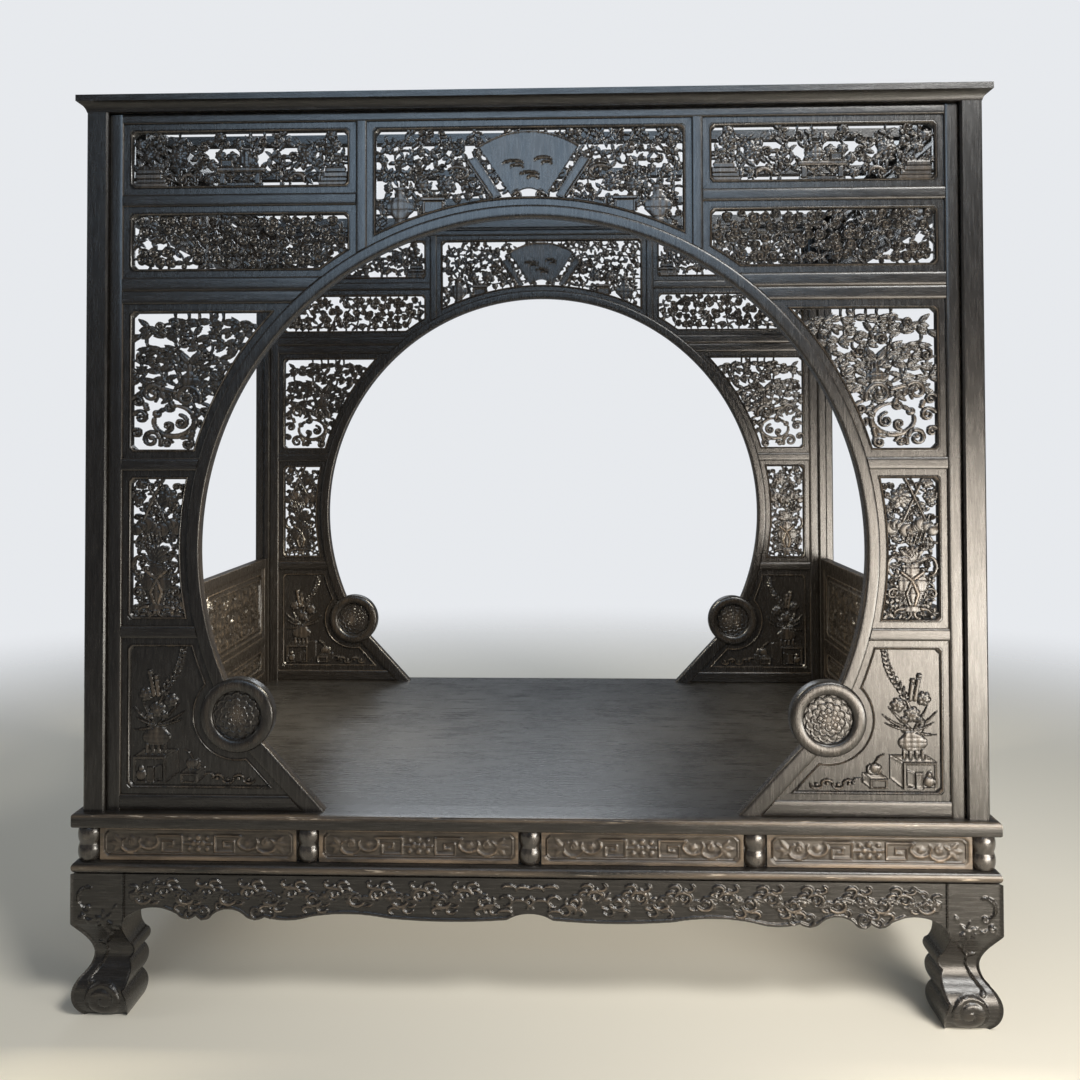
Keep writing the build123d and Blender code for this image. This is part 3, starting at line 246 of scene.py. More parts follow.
@dataclass(frozen=True)
class WoodFinish:
    """Dark polished hardwood, lighter brown where it stands proud: partly real rubbing, partly a painted
    highlight on crests and edges.
    """

    name: str
    grain: Triple  # stretch of the grain; the smallest is along the fibres
    dark: Triple = (0.0075, 0.0062, 0.0053)
    light: Triple = (0.0150, 0.0125, 0.0104)
    # lighter brown on crests and edges: real rubbing and a painted highlight
    rubbed: Triple = (0.20, 0.150, 0.105)
    bare: Triple = (0.40, 0.34, 0.27)
    dust: Triple = (0.16, 0.155, 0.15)
    # how strongly that lighter brown, rubbing and painted highlight, is mixed in
    wear_and_highlight: float = 0.35
    chipped: float = 0.15
    dusty: float = 0.08
    roughness: float = 0.24
    streak: float = 0.05
    bump: float = 0.10
    gloss: float = 0.62
    dulling: float = 0.6  # how much dust adds to the roughness
    pore_depth: float = 0.0006

    def make(self, groups: dict[str, object]) -> object:
        """Builds the material.

        Args:
            groups: The shared node groups by name.

        Returns:
            The material.
        """
        material = bpy.data.materials.new(self.name)
        material.use_nodes = True
        tree = material.node_tree
        shader = tree.nodes["Principled BSDF"]
        place = add_node(tree, "ShaderNodeTexCoord").outputs["Object"]
        along = add_node(tree, "ShaderNodeMapping", {"Vector": place, "Scale": self.grain}).outputs["Vector"]
        raised = add_node(tree, "ShaderNodeAttribute", attribute_name="raised").outputs["Fac"]
        grain = add_node(tree, "ShaderNodeGroup", node_tree=groups["grain"], links={"Vector": along}).outputs
        wear_and_highlight = add_node(tree, "ShaderNodeGroup", node_tree=groups["wear_and_highlight"],
                        links={"Vector": along, "Raised": raised, "Amount": self.wear_and_highlight,
                               "Chipped": self.chipped}).outputs
        dust = add_node(tree, "ShaderNodeGroup", node_tree=groups["dust"],
                        links={"Vector": place, "Amount": self.dusty}).outputs["Dust"]
        below: object = (*self.dark, 1.0)
        # the lighter brown on raised places is real rubbing and also a painted highlight on crests and edges
        for share, colour in ((grain["Streaks"], self.light), (wear_and_highlight["Rubbed"], self.rubbed),
                              (wear_and_highlight["Chips"], self.bare), (dust, self.dust)):
            links = {"Factor": share, "A": below, "B": (*colour, 1.0)}
            below = add_node(tree, "ShaderNodeMix", links, data_type="RGBA").outputs["Result"]

        def scaled(value: object, factor: float, offset: object, clamp: bool = False) -> object:
            """A value times a factor plus an offset."""
            links = {0: value, 1: factor, 2: offset}
            node = add_node(tree, "ShaderNodeMath", links, operation="MULTIPLY_ADD", use_clamp=clamp)
            return node.outputs[0]

        pores = add_node(tree, "ShaderNodeBump", {"Height": grain["Pores"], "Strength": self.bump,
                                                  "Distance": self.pore_depth})
        sheen = scaled(grain["Streaks"], self.streak, self.roughness)
        for label, socket in (("Base Color", below), ("Roughness", scaled(dust, self.dulling, sheen, True)),
                              ("Normal", pores.outputs["Normal"]),
                              ("Specular IOR Level",
                               scaled(grain["Streaks"], 0.45 * self.gloss, 0.75 * self.gloss))):
            tree.links.new(socket, shader.inputs[label])
        return material


# ================================================================ meshes
class Solids:
    """Closed solids in millimetres, gathered into one mesh object."""

    def __init__(self) -> None:
        """Opens an empty collection."""
        self.points: list[Array] = []
        self.raised: list[Array] = []
        self.faces: list[Array] = []
        self.count = 0

    def add(self, points: Array, faces: Sequence[Array], raised: Array) -> "Solids":
        """Adds a closed solid and turns its faces outwards.

        Args:
            points: Corners, one row each.
            faces: Arrays of corner numbers, one row a face, each array with its own corner count.
            raised: How far each corner stands proud, from 0 to 1.

        Returns:
            This collection.
        """
        volume = 0.0
        for group in faces:
            corners = points[group]
            for number in range(1, group.shape[1] - 1):
                normal = np.cross(corners[:, number], corners[:, number + 1])
                volume += float(np.einsum("ij,ij->", corners[:, 0], normal))
        if volume < 0:
            faces = [group[:, ::-1] for group in faces]
        self.faces += [group + self.count for group in faces]
        self.points.append(points)
        self.raised.append(raised)
        self.count += len(points)
        return self

    def add_loft(self, rings: Array, raised: Array, closed: bool = False) -> "Solids":
        """Adds a solid through closed sections, capped at its ends unless it closes on itself.

        Args:
            rings: Points by station and by place round the section.
            raised: How far each place round the section, or each point, stands proud.
            closed: Whether the last section joins the first.

        Returns:
            This collection.
        """
        stations, around = rings.shape[:2]
        first = np.arange(stations if closed else stations - 1)[:, None] * around
        second = ((np.arange(stations if closed else stations - 1) + 1) % stations)[:, None] * around
        here = np.arange(around)[None, :]
        there = (here + 1) % around
        sides = np.stack([first + here, first + there, second + there, second + here], axis=-1)
        faces = [sides.reshape(-1, 4)]
        if not closed:
            faces.append(np.arange(around)[None, ::-1])
            faces.append((stations - 1) * around + np.arange(around)[None, :])
        spread = np.broadcast_to(raised, (stations, around)).reshape(-1)
        return self.add(rings.reshape(-1, 3), faces, spread)

    def add_copy(self, other: "Solids", turn: Array | Triple = (1, 1, 1),
                 shift: Triple = (0.0, 0.0, 0.0)) -> "Solids":
        """Adds another collection's solids, turned or mirrored about the origin and then moved.

        Args:
            other: The collection to copy.
            turn: Three by three matrix, or the sign of each axis.
            shift: The move.

        Returns:
            This collection.
        """
        matrix = turn if np.ndim(turn) == 2 else np.diag(turn).astype(float)
        flip = np.linalg.det(matrix) < 0
        self.faces += [(group[:, ::-1] if flip else group) + self.count for group in other.faces]
        self.points += [points @ matrix.T + np.array(shift) for points in other.points]
        self.raised += other.raised
        self.count += other.count
        return self

    def on_both_sides(self) -> "Solids":
        """The solids with their mirror image about the bed's middle.

        Returns:
            A new collection.
        """
        both = Solids()
        for sign in SIDES:
            both.add_copy(self, (sign, 1, 1))
        return both

    def build(self, name: str, material: object, sharp: float = 38.0) -> object:
        """Makes the mesh object.

        Args:
            name: The object's name.
            material: The finish.
            sharp: Angle in degrees over which an edge is left sharp.

        Returns:
            The object, at the origin, with its place in its mesh.
        """
        mesh = bpy.data.meshes.new(name)
        points = np.concatenate(self.points) * MM
        loops = np.concatenate([group.reshape(-1) for group in self.faces]).astype(np.int32)
        sizes = np.concatenate([np.full(len(g), g.shape[1]) for g in self.faces]).astype(np.int32)
        mesh.vertices.add(len(points))
        mesh.vertices.foreach_set("co", points.astype(np.float32).reshape(-1))
        mesh.loops.add(len(loops))
        mesh.loops.foreach_set("vertex_index", loops)
        mesh.polygons.add(len(sizes))
        mesh.polygons.foreach_set("loop_start", np.concatenate([[0], np.cumsum(sizes)[:-1]]).astype(np.int32))
        mesh.polygons.foreach_set("use_smooth", np.ones(len(sizes), bool))
        mesh.update(calc_edges=True)
        # this mask sets the lighter brown: real rubbing, and along edges and crests a painted highlight
        raised = mesh.attributes.new("raised", "FLOAT", "POINT")
        raised.data.foreach_set("value", np.concatenate(self.raised).astype(np.float32))
        mesh.validate()
        mesh.set_sharp_from_angle(angle=math.radians(sharp))
        mesh.materials.append(material)
        item = bpy.data.objects.new(name, mesh)
        bpy.context.scene.collection.objects.link(item)
        return item


def settle(item: object, slot: str, *nodes: str) -> None:
    """Puts a finished piece in the frame.

    Args:
        item: The object.
        slot: Name of a material slot; not used.
        nodes: CAD nodes that it stands for.
    """
    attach(item, "root")
    if nodes:
        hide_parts(*nodes)
    LOG.info("%s: %d faces, stands for %s", item.name, len(item.data.polygons), ", ".join(nodes) or "nothing")


# ================================================================ carving
def smooth_dome(share: Array) -> Array:
    """Half-round profile over a share of the half width.

    Args:
        share: Distance over half width, 0 on the middle line and 1 at the edge.

    Returns:
        Height from 0 to 1.
    """
    return np.sqrt(np.clip(1.0 - share**2, 0.0, 1.0))


class Canvas:
    """A carved surface: on a regular grid it keeps the distance to the nearest carved shape's edge
    (negative inside) and the height of the carving from 0 to 1.
    """

    BARE = 50.0  # distance kept where nothing is carved
    GROOVE = 1.1  # width of the groove round a shape, in grid spacings
    GROOVE_FADE, GROOVE_FLOOR = 0.45, 0.55  # what is left of the height in it
    VEIN_DEPTH, VEIN_WIDTH = 0.28, 0.9  # a leaf's middle line
    ROW_STEP = 0.87  # foliage: distance between the lattice's rows, in spacings, as are those below
    JITTER = 0.27  # how far a point strays
    STEM = 0.085  # half width of a stem
    TIE = 1.7  # longest stem between two points
    SECOND_TIE = 0.25  # chance of a second stem
    EDGE_TIE = 0.85  # how near to the border a point is tied to it

    def __init__(self, low: Point, high: Point, pitch: float) -> None:
        """Opens an empty canvas.

        Args:
            low: Lowest corner.
            high: Highest corner.
            pitch: Grid spacing in millimetres.
        """
        self.pitch = pitch
        self.low = np.array(low)
        self.across = low[0] + pitch * np.arange(int((high[0] - low[0]) / pitch) + 2)
        self.up = low[1] + pitch * np.arange(int((high[1] - low[1]) / pitch) + 2)
        self.reach = np.full((len(self.up), len(self.across)), self.BARE)
        self.height = np.zeros_like(self.reach)

    def window(self, low: Array, high: Array) -> tuple[slice, slice]:
        """Part of the grid that covers a box.

        Args:
            low: Lowest corner.
            high: Highest corner.

        Returns:
            Row and column slices.
        """
        first = np.floor((np.asarray(low) - self.low) / self.pitch).astype(int) - 2
        last = np.ceil((np.asarray(high) - self.low) / self.pitch).astype(int) + 3
        first = np.maximum(first, 0)
        last = np.maximum(last, 0)
        return slice(first[1], last[1]), slice(first[0], last[0])

    def mesh_at(self, part: tuple[slice, slice]) -> tuple[Array, Array]:
        """Coordinates of a part of the grid.

        Args:
            part: Row and column slices.

        Returns:
            Arrays of across and up, by row and column.
        """
        return np.meshgrid(self.across[part[1]], self.up[part[0]])

    def stamp(self, part: tuple[slice, slice], reach: Array, height: Array) -> None:
        """Lays a shape over what is carved already, with a fine groove round it.

        Args:
            part: Row and column slices that the shape covers.
            reach: Distance to the shape's edge, negative inside.
            height: Height inside the shape.
        """
        if reach.size == 0:
            return
        away = np.clip(reach / (self.GROOVE * self.pitch), 0.0, 1.0)
        groove = away * self.GROOVE_FADE + self.GROOVE_FLOOR
        self.height[part] = np.where(reach < 0, height, self.height[part] * groove)
        self.reach[part] = np.minimum(self.reach[part], reach)

    def stroke(self, points: Sequence[Point], half_widths: Sequence[float] | float, base: float = 0.35,
               crown: float = 0.45, vein: bool = False) -> None:
        """Carves a rounded stroke along a path.

        Args:
            points: The path, one row a point.
            half_widths: Half width at each point, or one for all.
            base: Height at the stroke's edge.
            crown: Rise of its middle over the edge.
            vein: Whether a fine line runs down its middle.
        """
        points = np.asarray(points, float)
        widths = np.broadcast_to(np.asarray(half_widths, float), len(points))
        part = self.window(points.min(0) - widths.max(), points.max(0) + widths.max())
        across, up = self.mesh_at(part)
        start, run = points[:-1], np.diff(points, axis=0)
        length2 = np.maximum((run**2).sum(1), 1e-9)[:, None, None]
        to_x = across[None] - start[:, 0, None, None]
        to_z = up[None] - start[:, 1, None, None]
        share = np.clip((to_x * run[:, 0, None, None] + to_z * run[:, 1, None, None]) / length2, 0, 1)
        gap = np.hypot(to_x - share * run[:, 0, None, None], to_z - share * run[:, 1, None, None])
        width = np.maximum(widths[:-1, None, None] * (1 - share) + widths[1:, None, None] * share, 0.2)
        reach = gap - width
        nearest = reach.argmin(0)[None]
        reach = np.take_along_axis(reach, nearest, 0)[0]
        ratio = np.take_along_axis(gap / width, nearest, 0)[0]
        height = base + crown * smooth_dome(ratio)
        if vein:
            middle = np.take_along_axis(gap, nearest, 0)[0]
            height = height - self.VEIN_DEPTH * np.exp(-((middle / self.VEIN_WIDTH) ** 2))
        self.stamp(part, reach, height)

    def leaf(self, place: Point, bearing: float, length: float, half_width: float, bend: float) -> None:
        """Carves a pointed leaf.

        Args:
            place: Where it grows from.
            bearing: Direction in radians.
            length: Length.
            half_width: Half of its greatest width.
            bend: Turn from base to tip in radians.
        """
        share = np.linspace(0, 1, 7)
        angle = bearing + bend * share
        steps = np.stack([np.cos(angle), np.sin(angle)], 1) * (length / 6)
        points = np.asarray(place) + np.concatenate([[[0, 0]], np.cumsum(steps[:-1], 0)])
        self.stroke(points, 0.6 + half_width * np.sin(np.pi * share**0.8), 0.3, 0.5, vein=half_width > 3.0)

    def curl(self, place: Point, radius: float, bearing: float, hand: int, half_width: float,
             turns: float = 1.4) -> None:
        """Carves a scroll that winds inwards from its outer end.

        Args:
            place: The scroll's centre.
            radius: Radius of its outer end.
            bearing: Direction of the outer end from the centre, in radians.
            hand: 1 to wind counter-clockwise, -1 clockwise.
            half_width: Half width at the outer end.
            turns: How many times it goes round.
        """
        share = np.linspace(0, 1, int(10 * turns) + 4)
        angle = bearing + hand * 2 * np.pi * turns * share
        distance = radius * (1 - 0.82 * share**0.8)
        points = np.asarray(place) + np.stack([np.cos(angle), np.sin(angle)], 1) * distance[:, None]
        self.stroke(points, half_width * (1 - 0.45 * share), 0.35, 0.5)
        self.bud(points[-1], half_width * 1.05)

    def round_window(self, place: Point, radius: float) -> tuple[tuple[slice, slice], Array, Array]:
        """Part of the grid round a point.

        Args:
            place: The point.
            radius: How far the part reaches.

        Returns:
            Row and column slices, and the distance and bearing of each place from the point.
        """
        part = self.window(np.asarray(place) - radius, np.asarray(place) + radius)
        across, up = self.mesh_at(part)
        across, up = across - place[0], up - place[1]
        return part, np.hypot(across, up), np.arctan2(up, across)

    def bud(self, place: Point, radius: float) -> None:
        """Carves a small dome.

        Args:
            place: Its centre.
            radius: Its radius.
        """
        part, gap, _ = self.round_window(place, radius)
        self.stamp(part, gap - radius, 0.45 + 0.5 * smooth_dome(gap / radius))

    def rosette(self, place: Point, radius: float, petals: int, turn: float = 0.0) -> None:
        """Carves a flower of two rings of petals round a button.

        Args:
            place: Its centre.
            radius: Its radius.
            petals: Petals in each ring.
            turn: Rotation in radians.
        """
        part, gap, bearing = self.round_window(place, radius)
        angle = bearing + turn
        lobe = np.abs(np.cos(petals * angle / 2))
        edge = radius * (0.78 + 0.22 * lobe)
        inner_lobe = np.abs(np.sin(petals * angle / 2))
        inner_edge = radius * (0.45 + 0.13 * inner_lobe)
        outer = 0.34 + 0.4 * lobe**0.6 * np.sin(np.pi * np.clip(gap / edge, 0, 1)) ** 0.7
        inner = 0.5 + 0.35 * inner_lobe**0.6 * smooth_dome(gap / inner_edge)
        height = np.where(gap < inner_edge, inner, outer)
        button = radius * 0.24
        height = np.where(gap < button, 0.62 + 0.38 * smooth_dome(gap / button), height)
        self.stamp(part, gap - edge, height)

    def whorl(self, place: Point, radius: float, hand: int, turn: float = 0.0) -> None:
        """Carves a round bud with a spiral groove.

        Args:
            place: Its centre.
            radius: Its radius.
            hand: 1 to wind counter-clockwise, -1 clockwise.
            turn: Rotation in radians.
        """
        part, gap, bearing = self.round_window(place, radius)
        angle = bearing * hand + turn
        edge = radius * (0.9 + 0.1 * np.cos(3 * angle))
        groove = np.cos(angle - 2 * np.pi * 1.7 * gap / radius)
        height = 0.66 - 0.26 * (gap / radius) ** 2 + 0.34 * groove
        self.stamp(part, gap - edge, height)

    def block(self, low: Point, high: Point, height: float = 0.8,
              inset: float = 0.0) -> None:
        """Carves a flat block with eased edges.

        Args:
            low: Lowest corner.
            high: Highest corner.
            height: Height of its face.
            inset: Distance in from its edge of a sunk square, or 0 for none.
        """
        part = self.window(np.array(low), np.array(high))
        across, up = self.mesh_at(part)
        reach = np.maximum.reduce([low[0] - across, across - high[0], low[1] - up, up - high[1]])
        face = height * np.clip(0.45 - reach / 2.5, 0.0, 1.0)
        if inset:
            face = np.where(reach < -inset, face - 0.3, face)
        self.stamp(part, reach, face)

    def carve_away(self, corners: Sequence[Point], height: float) -> None:
        """Lowers a rectangle to a height.

        Args:
            corners: Its corners.
            height: The height left.
        """
        line = np.array(corners)
        part = self.window(line.min(0), line.max(0))
        across, up = self.mesh_at(part)
        held = (across > line[:, 0].min()) & (across < line[:, 0].max())
        held &= (up > line[:, 1].min()) & (up < line[:, 1].max())
        self.height[part] = np.where(held, height, self.height[part])

    def vase(self, foot: Point, height: float, profile: Sequence[float]) -> None:
        """Carves a vase.

        Args:
            foot: Middle of its foot.
            height: Height of the vase.
            profile: Half widths at equal steps from foot to lip.
        """
        widest = max(profile)
        part = self.window(np.array([foot[0] - widest, foot[1]]),
                           np.array([foot[0] + widest, foot[1] + height]))
        across, up = self.mesh_at(part)
        share = (up - foot[1]) / height
        width = np.interp(share, np.linspace(0, 1, len(profile)), profile)
        side = np.abs(across - foot[0])
        reach = np.maximum.reduce([side - width, foot[1] - up, up - foot[1] - height])
        bands = 0.14 * np.exp(-(((share % 0.25) - 0.125) / 0.018) ** 2)
        ribs = 0.06 * np.cos(side / widest * 14)
        self.stamp(part, reach, 0.34 + 0.48 * smooth_dome(side / np.maximum(width, 1)) - bands + ribs)

    def fan(self, pivot: Point, inner: float, outer: float, spread: float) -> None:
        """Carves an open folding fan.

        Args:
            pivot: Where its ribs meet.
            inner: Radius where the leaf starts.
            outer: Radius of its rim.
            spread: Half of its opening angle in radians.
        """
        part = self.window(np.array(pivot) - outer, np.array(pivot) + outer)
        across, up = self.mesh_at(part)
        gap = np.hypot(across - pivot[0], up - pivot[1])
        angle = np.arctan2(across - pivot[0], up - pivot[1])
        reach = np.maximum.reduce([gap - outer, inner - gap, (np.abs(angle) - spread) * gap])
        rim = np.minimum(outer - gap, gap - inner)
        height = np.where(rim < 4.0, 0.9, 0.62 + 0.018 * np.cos(angle * 40))
        self.stamp(part, reach, height)

    def pierce(self, centre: Point, radii: Point) -> None:
        """Cuts an elliptical hole through what is carved.

        Args:
            centre: Its centre.
            radii: Its radii across and up.
        """
        part = self.window(np.array(centre) - radii, np.array(centre) + radii)
        across, up = self.mesh_at(part)
        share = np.hypot((across - centre[0]) / radii[0], (up - centre[1]) / radii[1])
        self.reach[part] = np.maximum(self.reach[part], (1 - share) * min(radii))

    def foliage(self, inside: Distance, seed: int, spacing: float,
                shares: dict[Ornament, float], size: float = 1.0) -> None:
        """Fills a field with winding stems, leaves, flowers and scrolls that hold to its border.

        Points are scattered on a jittered lattice.  Each is tied to its nearest earlier neighbour by
        a bent stem, and at times to a second one, and points near the border are tied to it.

        Args:
            inside: Gives the distance to the field's border, negative inside.
            seed: Seed of the scatter.
            spacing: Distance between points.
            shares: How large a share of the points carries each ornament.
            size: Size of the ornaments over their usual size.
        """
        draw = np.random.default_rng(seed)
        rows = np.arange(self.up[0], self.up[-1], spacing * self.ROW_STEP)
        columns = np.arange(self.across[0], self.across[-1], spacing)
        lattice = np.array([(x + (0.5 * spacing if n % 2 else 0.0), z)
                            for n, z in enumerate(rows) for x in columns])
        lattice += draw.uniform(-self.JITTER, self.JITTER, lattice.shape) * spacing
        depth = -inside(lattice[:, 0], lattice[:, 1])
        lattice, depth = lattice[depth > 0.2 * spacing], depth[depth > 0.2 * spacing]
        half_stem = self.STEM * spacing
        for number, place in enumerate(lattice):
            earlier = np.hypot(*(lattice[:number] - place).T) if number else np.empty(0)
            near = np.argsort(earlier)[:3]
            for rank, other in enumerate(near):
                if earlier[other] < self.TIE * spacing and (rank == 0 or draw.random() < self.SECOND_TIE):
                    self.stem(place, lattice[other], draw.uniform(-0.32, 0.32), half_stem)
            if depth[number] < self.EDGE_TIE * spacing:
                step = 0.5
                slope = np.array([inside(place[0] + step, place[1]) - inside(place[0] - step, place[1]),
                                  inside(place[0], place[1] + step) - inside(place[0], place[1] - step)])
                slope = slope / max(float(np.hypot(*slope)), 1e-6)
                self.stem(place, place + slope * (depth[number] + 4.0), draw.uniform(-0.2, 0.2), half_stem)
        kinds = list(shares)
        odds = np.array(list(shares.values())) / sum(shares.values())
        chosen = draw.choice(len(kinds), len(lattice), p=odds)
        for place, number in zip(lattice, chosen):
            self.ornament(kinds[number], place, draw, spacing * size)

    def arc(self, centre: Point, radii: Point, start: float, sweep: float,
            half_width: float) -> None:
        """Carves a band along part of an ellipse that tapers to its ends.

        Args:
            centre: The ellipse's centre.
            radii: Its radii across and up.
            start: First angle in degrees.
            sweep: Angle run through, positive counter-clockwise.
            half_width: Half width of the band in its middle.
        """
        share = np.linspace(0, 1, 28)
        angle = np.radians(start + sweep * share)
        points = np.stack([centre[0] + radii[0] * np.cos(angle), centre[1] + radii[1] * np.sin(angle)], 1)
        self.stroke(points, half_width * (0.45 + 0.55 * np.sin(np.pi * share)), 0.55, 0.45)

    def facet(self, corners: Sequence[Point], height: float) -> None:
        """Carves a flat face with convex straight sides and a thin raised rim.

        Args:
            corners: Its corners, counter-clockwise.
            height: Its height.
        """
        line = np.array(corners)
        part = self.window(line.min(0) - 2, line.max(0) + 2)
        across, up = self.mesh_at(part)
        reach = np.full(across.shape, -1e9)
        for first, last in zip(line, np.roll(line, -1, 0)):
            run = (last - first) / max(float(np.hypot(*(last - first))), 1e-9)
            reach = np.maximum(reach, (across - first[0]) * run[1] - (up - first[1]) * run[0])
        self.stamp(part, reach, height + 0.12 * np.exp(-((reach + 2.2) / 1.3) ** 2))

    def stem(self, first: Array, last: Array, bend: float, half_width: float) -> None:
        """Carves a bent stem between two points.

        Args:
            first: One end.
            last: The other end.
            bend: Rise of its middle over its length.
            half_width: Half width.
        """
        share = np.linspace(0, 1, 6)[:, None]
        run = np.asarray(last) - np.asarray(first)
        sideways = np.array([-run[1], run[0]])
        self.stroke(first + run * share + sideways * bend * 4 * share * (1 - share), half_width, 0.2, 0.4)

    def ornament(self, kind: Ornament, place: Point, draw: np.random.Generator, scale: float) -> None:
        """Carves a flower, a scroll, a bud or a spray of leaves at a point.

        Args:
            kind: Which of them.
            place: The point.
            draw: Source of chance.
            scale: Distance between ornaments, which sets their size.
        """
        turn = draw.uniform(0, 2 * np.pi)
        if kind is Ornament.FLOWER:
            self.rosette(place, scale * draw.uniform(0.42, 0.52), int(draw.integers(5, 8)), turn)
        elif kind is Ornament.CURL:
            self.curl(place, scale * draw.uniform(0.36, 0.46), turn, int(draw.choice(SIDES)), scale * 0.11)
        elif kind is Ornament.WHORL:
            self.whorl(place, scale * draw.uniform(0.48, 0.57), int(draw.choice(SIDES)), turn)
        elif kind is Ornament.FROND:
            for number in range(5):
                self.leaf(place, np.pi * (number % 2) + draw.uniform(-0.65, 0.65),
                          scale * draw.uniform(0.7, 1.0), scale * draw.uniform(0.14, 0.18),
                          draw.uniform(-0.6, 0.6))
        else:
            for number in range(int(draw.integers(3, 5))):
                self.leaf(place, turn + number * 1.7 + draw.uniform(-0.4, 0.4),
                          scale * draw.uniform(0.65, 0.95), scale * draw.uniform(0.13, 0.18),
                          draw.uniform(-1.0, 1.0))

    def frame(self, low: Point, high: Point, cut: float,
              half_width: float) -> None:
        """Carves a thread round a rectangle with cut corners.

        Args:
            low: Lowest corner.
            high: Highest corner.
            cut: Length cut off each side at a corner.
            half_width: Half width of the thread.
        """
        x0, z0, x1, z1 = *low, *high
        loop = [(x0 + cut, z0), (x1 - cut, z0), (x1, z0 + cut), (x1, z1 - cut), (x1 - cut, z1),
                (x0 + cut, z1), (x0, z1 - cut), (x0, z0 + cut), (x0 + cut, z0)]
        for first, last in zip(loop, loop[1:]):
            self.stroke((first, last), half_width, 0.55, 0.4)

    def sample(self, across: Array, up: Array) -> Array:
        """Height at any points, by bilinear interpolation.

        Args:
            across: Places across.
            up: Places up.

        Returns:
            Heights.
        """
        column = np.clip((across - self.low[0]) / self.pitch, 0, len(self.across) - 1.001)
        row = np.clip((up - self.low[1]) / self.pitch, 0, len(self.up) - 1.001)
        i, j = row.astype(int), column.astype(int)
        u, v = row - i, column - j
        grid = self.height
        return ((1 - u) * ((1 - v) * grid[i, j] + v * grid[i, j + 1])
                + u * ((1 - v) * grid[i + 1, j] + v * grid[i + 1, j + 1]))


def carved_sheet(canvas: Canvas, inside: Array, mid: float, low: float, rise: float) -> Solids:
    """Makes a solid sheet from a canvas, carved alike on both faces.

    Cells whose centre is inside are kept.  Their corners on the edge are moved onto the edge along
    the distance's slope, so the outline is smooth.  Both faces stand at low + rise times the height
    from the middle plane, and walls join them along the outline.

    Args:
        canvas: The carving.
        inside: Distance to the sheet's edge at every grid point, negative inside.
        mid: Y of the middle plane.
        low: Half thickness where the height is 0.
        rise: How much the height adds to the half thickness.

    Returns:
        The solid.
    """
    centre = (inside[:-1, :-1] + inside[1:, :-1] + inside[:-1, 1:] + inside[1:, 1:]) / 4
    keep = centre < 0
    for _ in range(3):
        one = keep[:-1, :-1] & keep[1:, 1:] & ~keep[:-1, 1:] & ~keep[1:, :-1]
        two = ~keep[:-1, :-1] & ~keep[1:, 1:] & keep[:-1, 1:] & keep[1:, :-1]
        keep[:-1, 1:] |= one
        keep[:-1, :-1] |= two
    rows, columns = inside.shape
    number = np.arange(rows * columns).reshape(rows, columns)
    i, j = np.nonzero(keep)
    quads = np.stack([number[i, j], number[i, j + 1], number[i + 1, j + 1], number[i + 1, j]], 1)
    edges = np.concatenate([quads[:, [k, (k + 1) % 4]] for k in range(4)])
    key = edges[:, 0].astype(np.int64) * rows * columns + edges[:, 1]
    back = edges[:, 1].astype(np.int64) * rows * columns + edges[:, 0]
    rim = edges[~np.isin(key, back)]

    slope_z, slope_x = np.gradient(inside, canvas.pitch)
    gentlest, furthest = 0.25, 0.62  # of the slope squared, and of a move in grid spacings
    steep = np.maximum(slope_x**2 + slope_z**2, gentlest)
    limit = furthest * canvas.pitch
    shift = np.clip(inside / steep, -limit, limit)
    across, up = np.meshgrid(canvas.across, canvas.up)
    on_rim = np.zeros(rows * columns, bool)
    on_rim[rim.reshape(-1)] = True
    on_rim = on_rim.reshape(rows, columns)
    across = np.where(on_rim, across - np.clip(shift * slope_x, -limit, limit), across)
    up = np.where(on_rim, up - np.clip(shift * slope_z, -limit, limit), up)
    height = canvas.height
    out = low + rise * height

    used = np.unique(quads)
    renumber = np.full(rows * columns, -1)
    renumber[used] = np.arange(len(used))
    x, z, depth = across.reshape(-1)[used], up.reshape(-1)[used], out.reshape(-1)[used]
    front = np.stack([x, mid - depth, z], 1)
    rear = np.stack([x, mid + depth, z], 1)
    quads = renumber[quads]
    rim = renumber[rim]
    count = len(used)
    walls = np.stack([rim[:, 1], rim[:, 0], rim[:, 0] + count, rim[:, 1] + count], 1)
    # the carving's height also sets the lighter brown on its crests: real rubbing and a painted highlight
    raised = np.concatenate([height.reshape(-1)[used]] * 2)
    return Solids().add(np.concatenate([front, rear]), [quads, quads[:, ::-1] + count, walls], raised)


# ================================================================ fields and borders
@dataclass(frozen=True)
class Edge:
    """One side of a field: a straight line given by its outward normal and distance, or, when it has
    a radius, the outside of a circle.  It may hold only up to a level.
    """

    normal: Point = (0.0, 0.0)
    offset: float = 0.0
    centre: Point = (0.0, 0.0)
    radius: float = 0.0
    rate: float = 1.0
    up_to: float = math.inf

    def distance(self, x: Array, z: Array, inset: float) -> Array:
        """Distance to the side moved inwards, negative on the field's side.

        Args:
            x: Places across.
            z: Heights.
            inset: How far the side is moved into the field.

        Returns:
            Distances.
        """
        if self.radius:
            return self.radius + inset - np.hypot(x - self.centre[0], z - self.centre[1])
        line = self.normal[0] * x + self.normal[1] * z - self.offset + inset * self.rate
        return np.minimum(line, self.up_to - z)

    def slope(self, point: Array) -> Array:
        """Outward direction at a point.

        Args:
            point: The point.

        Returns:
            A unit vector.
        """
        if self.radius:
            away = point - np.array(self.centre)
            return -away / np.hypot(*away)
        return np.array(self.normal)


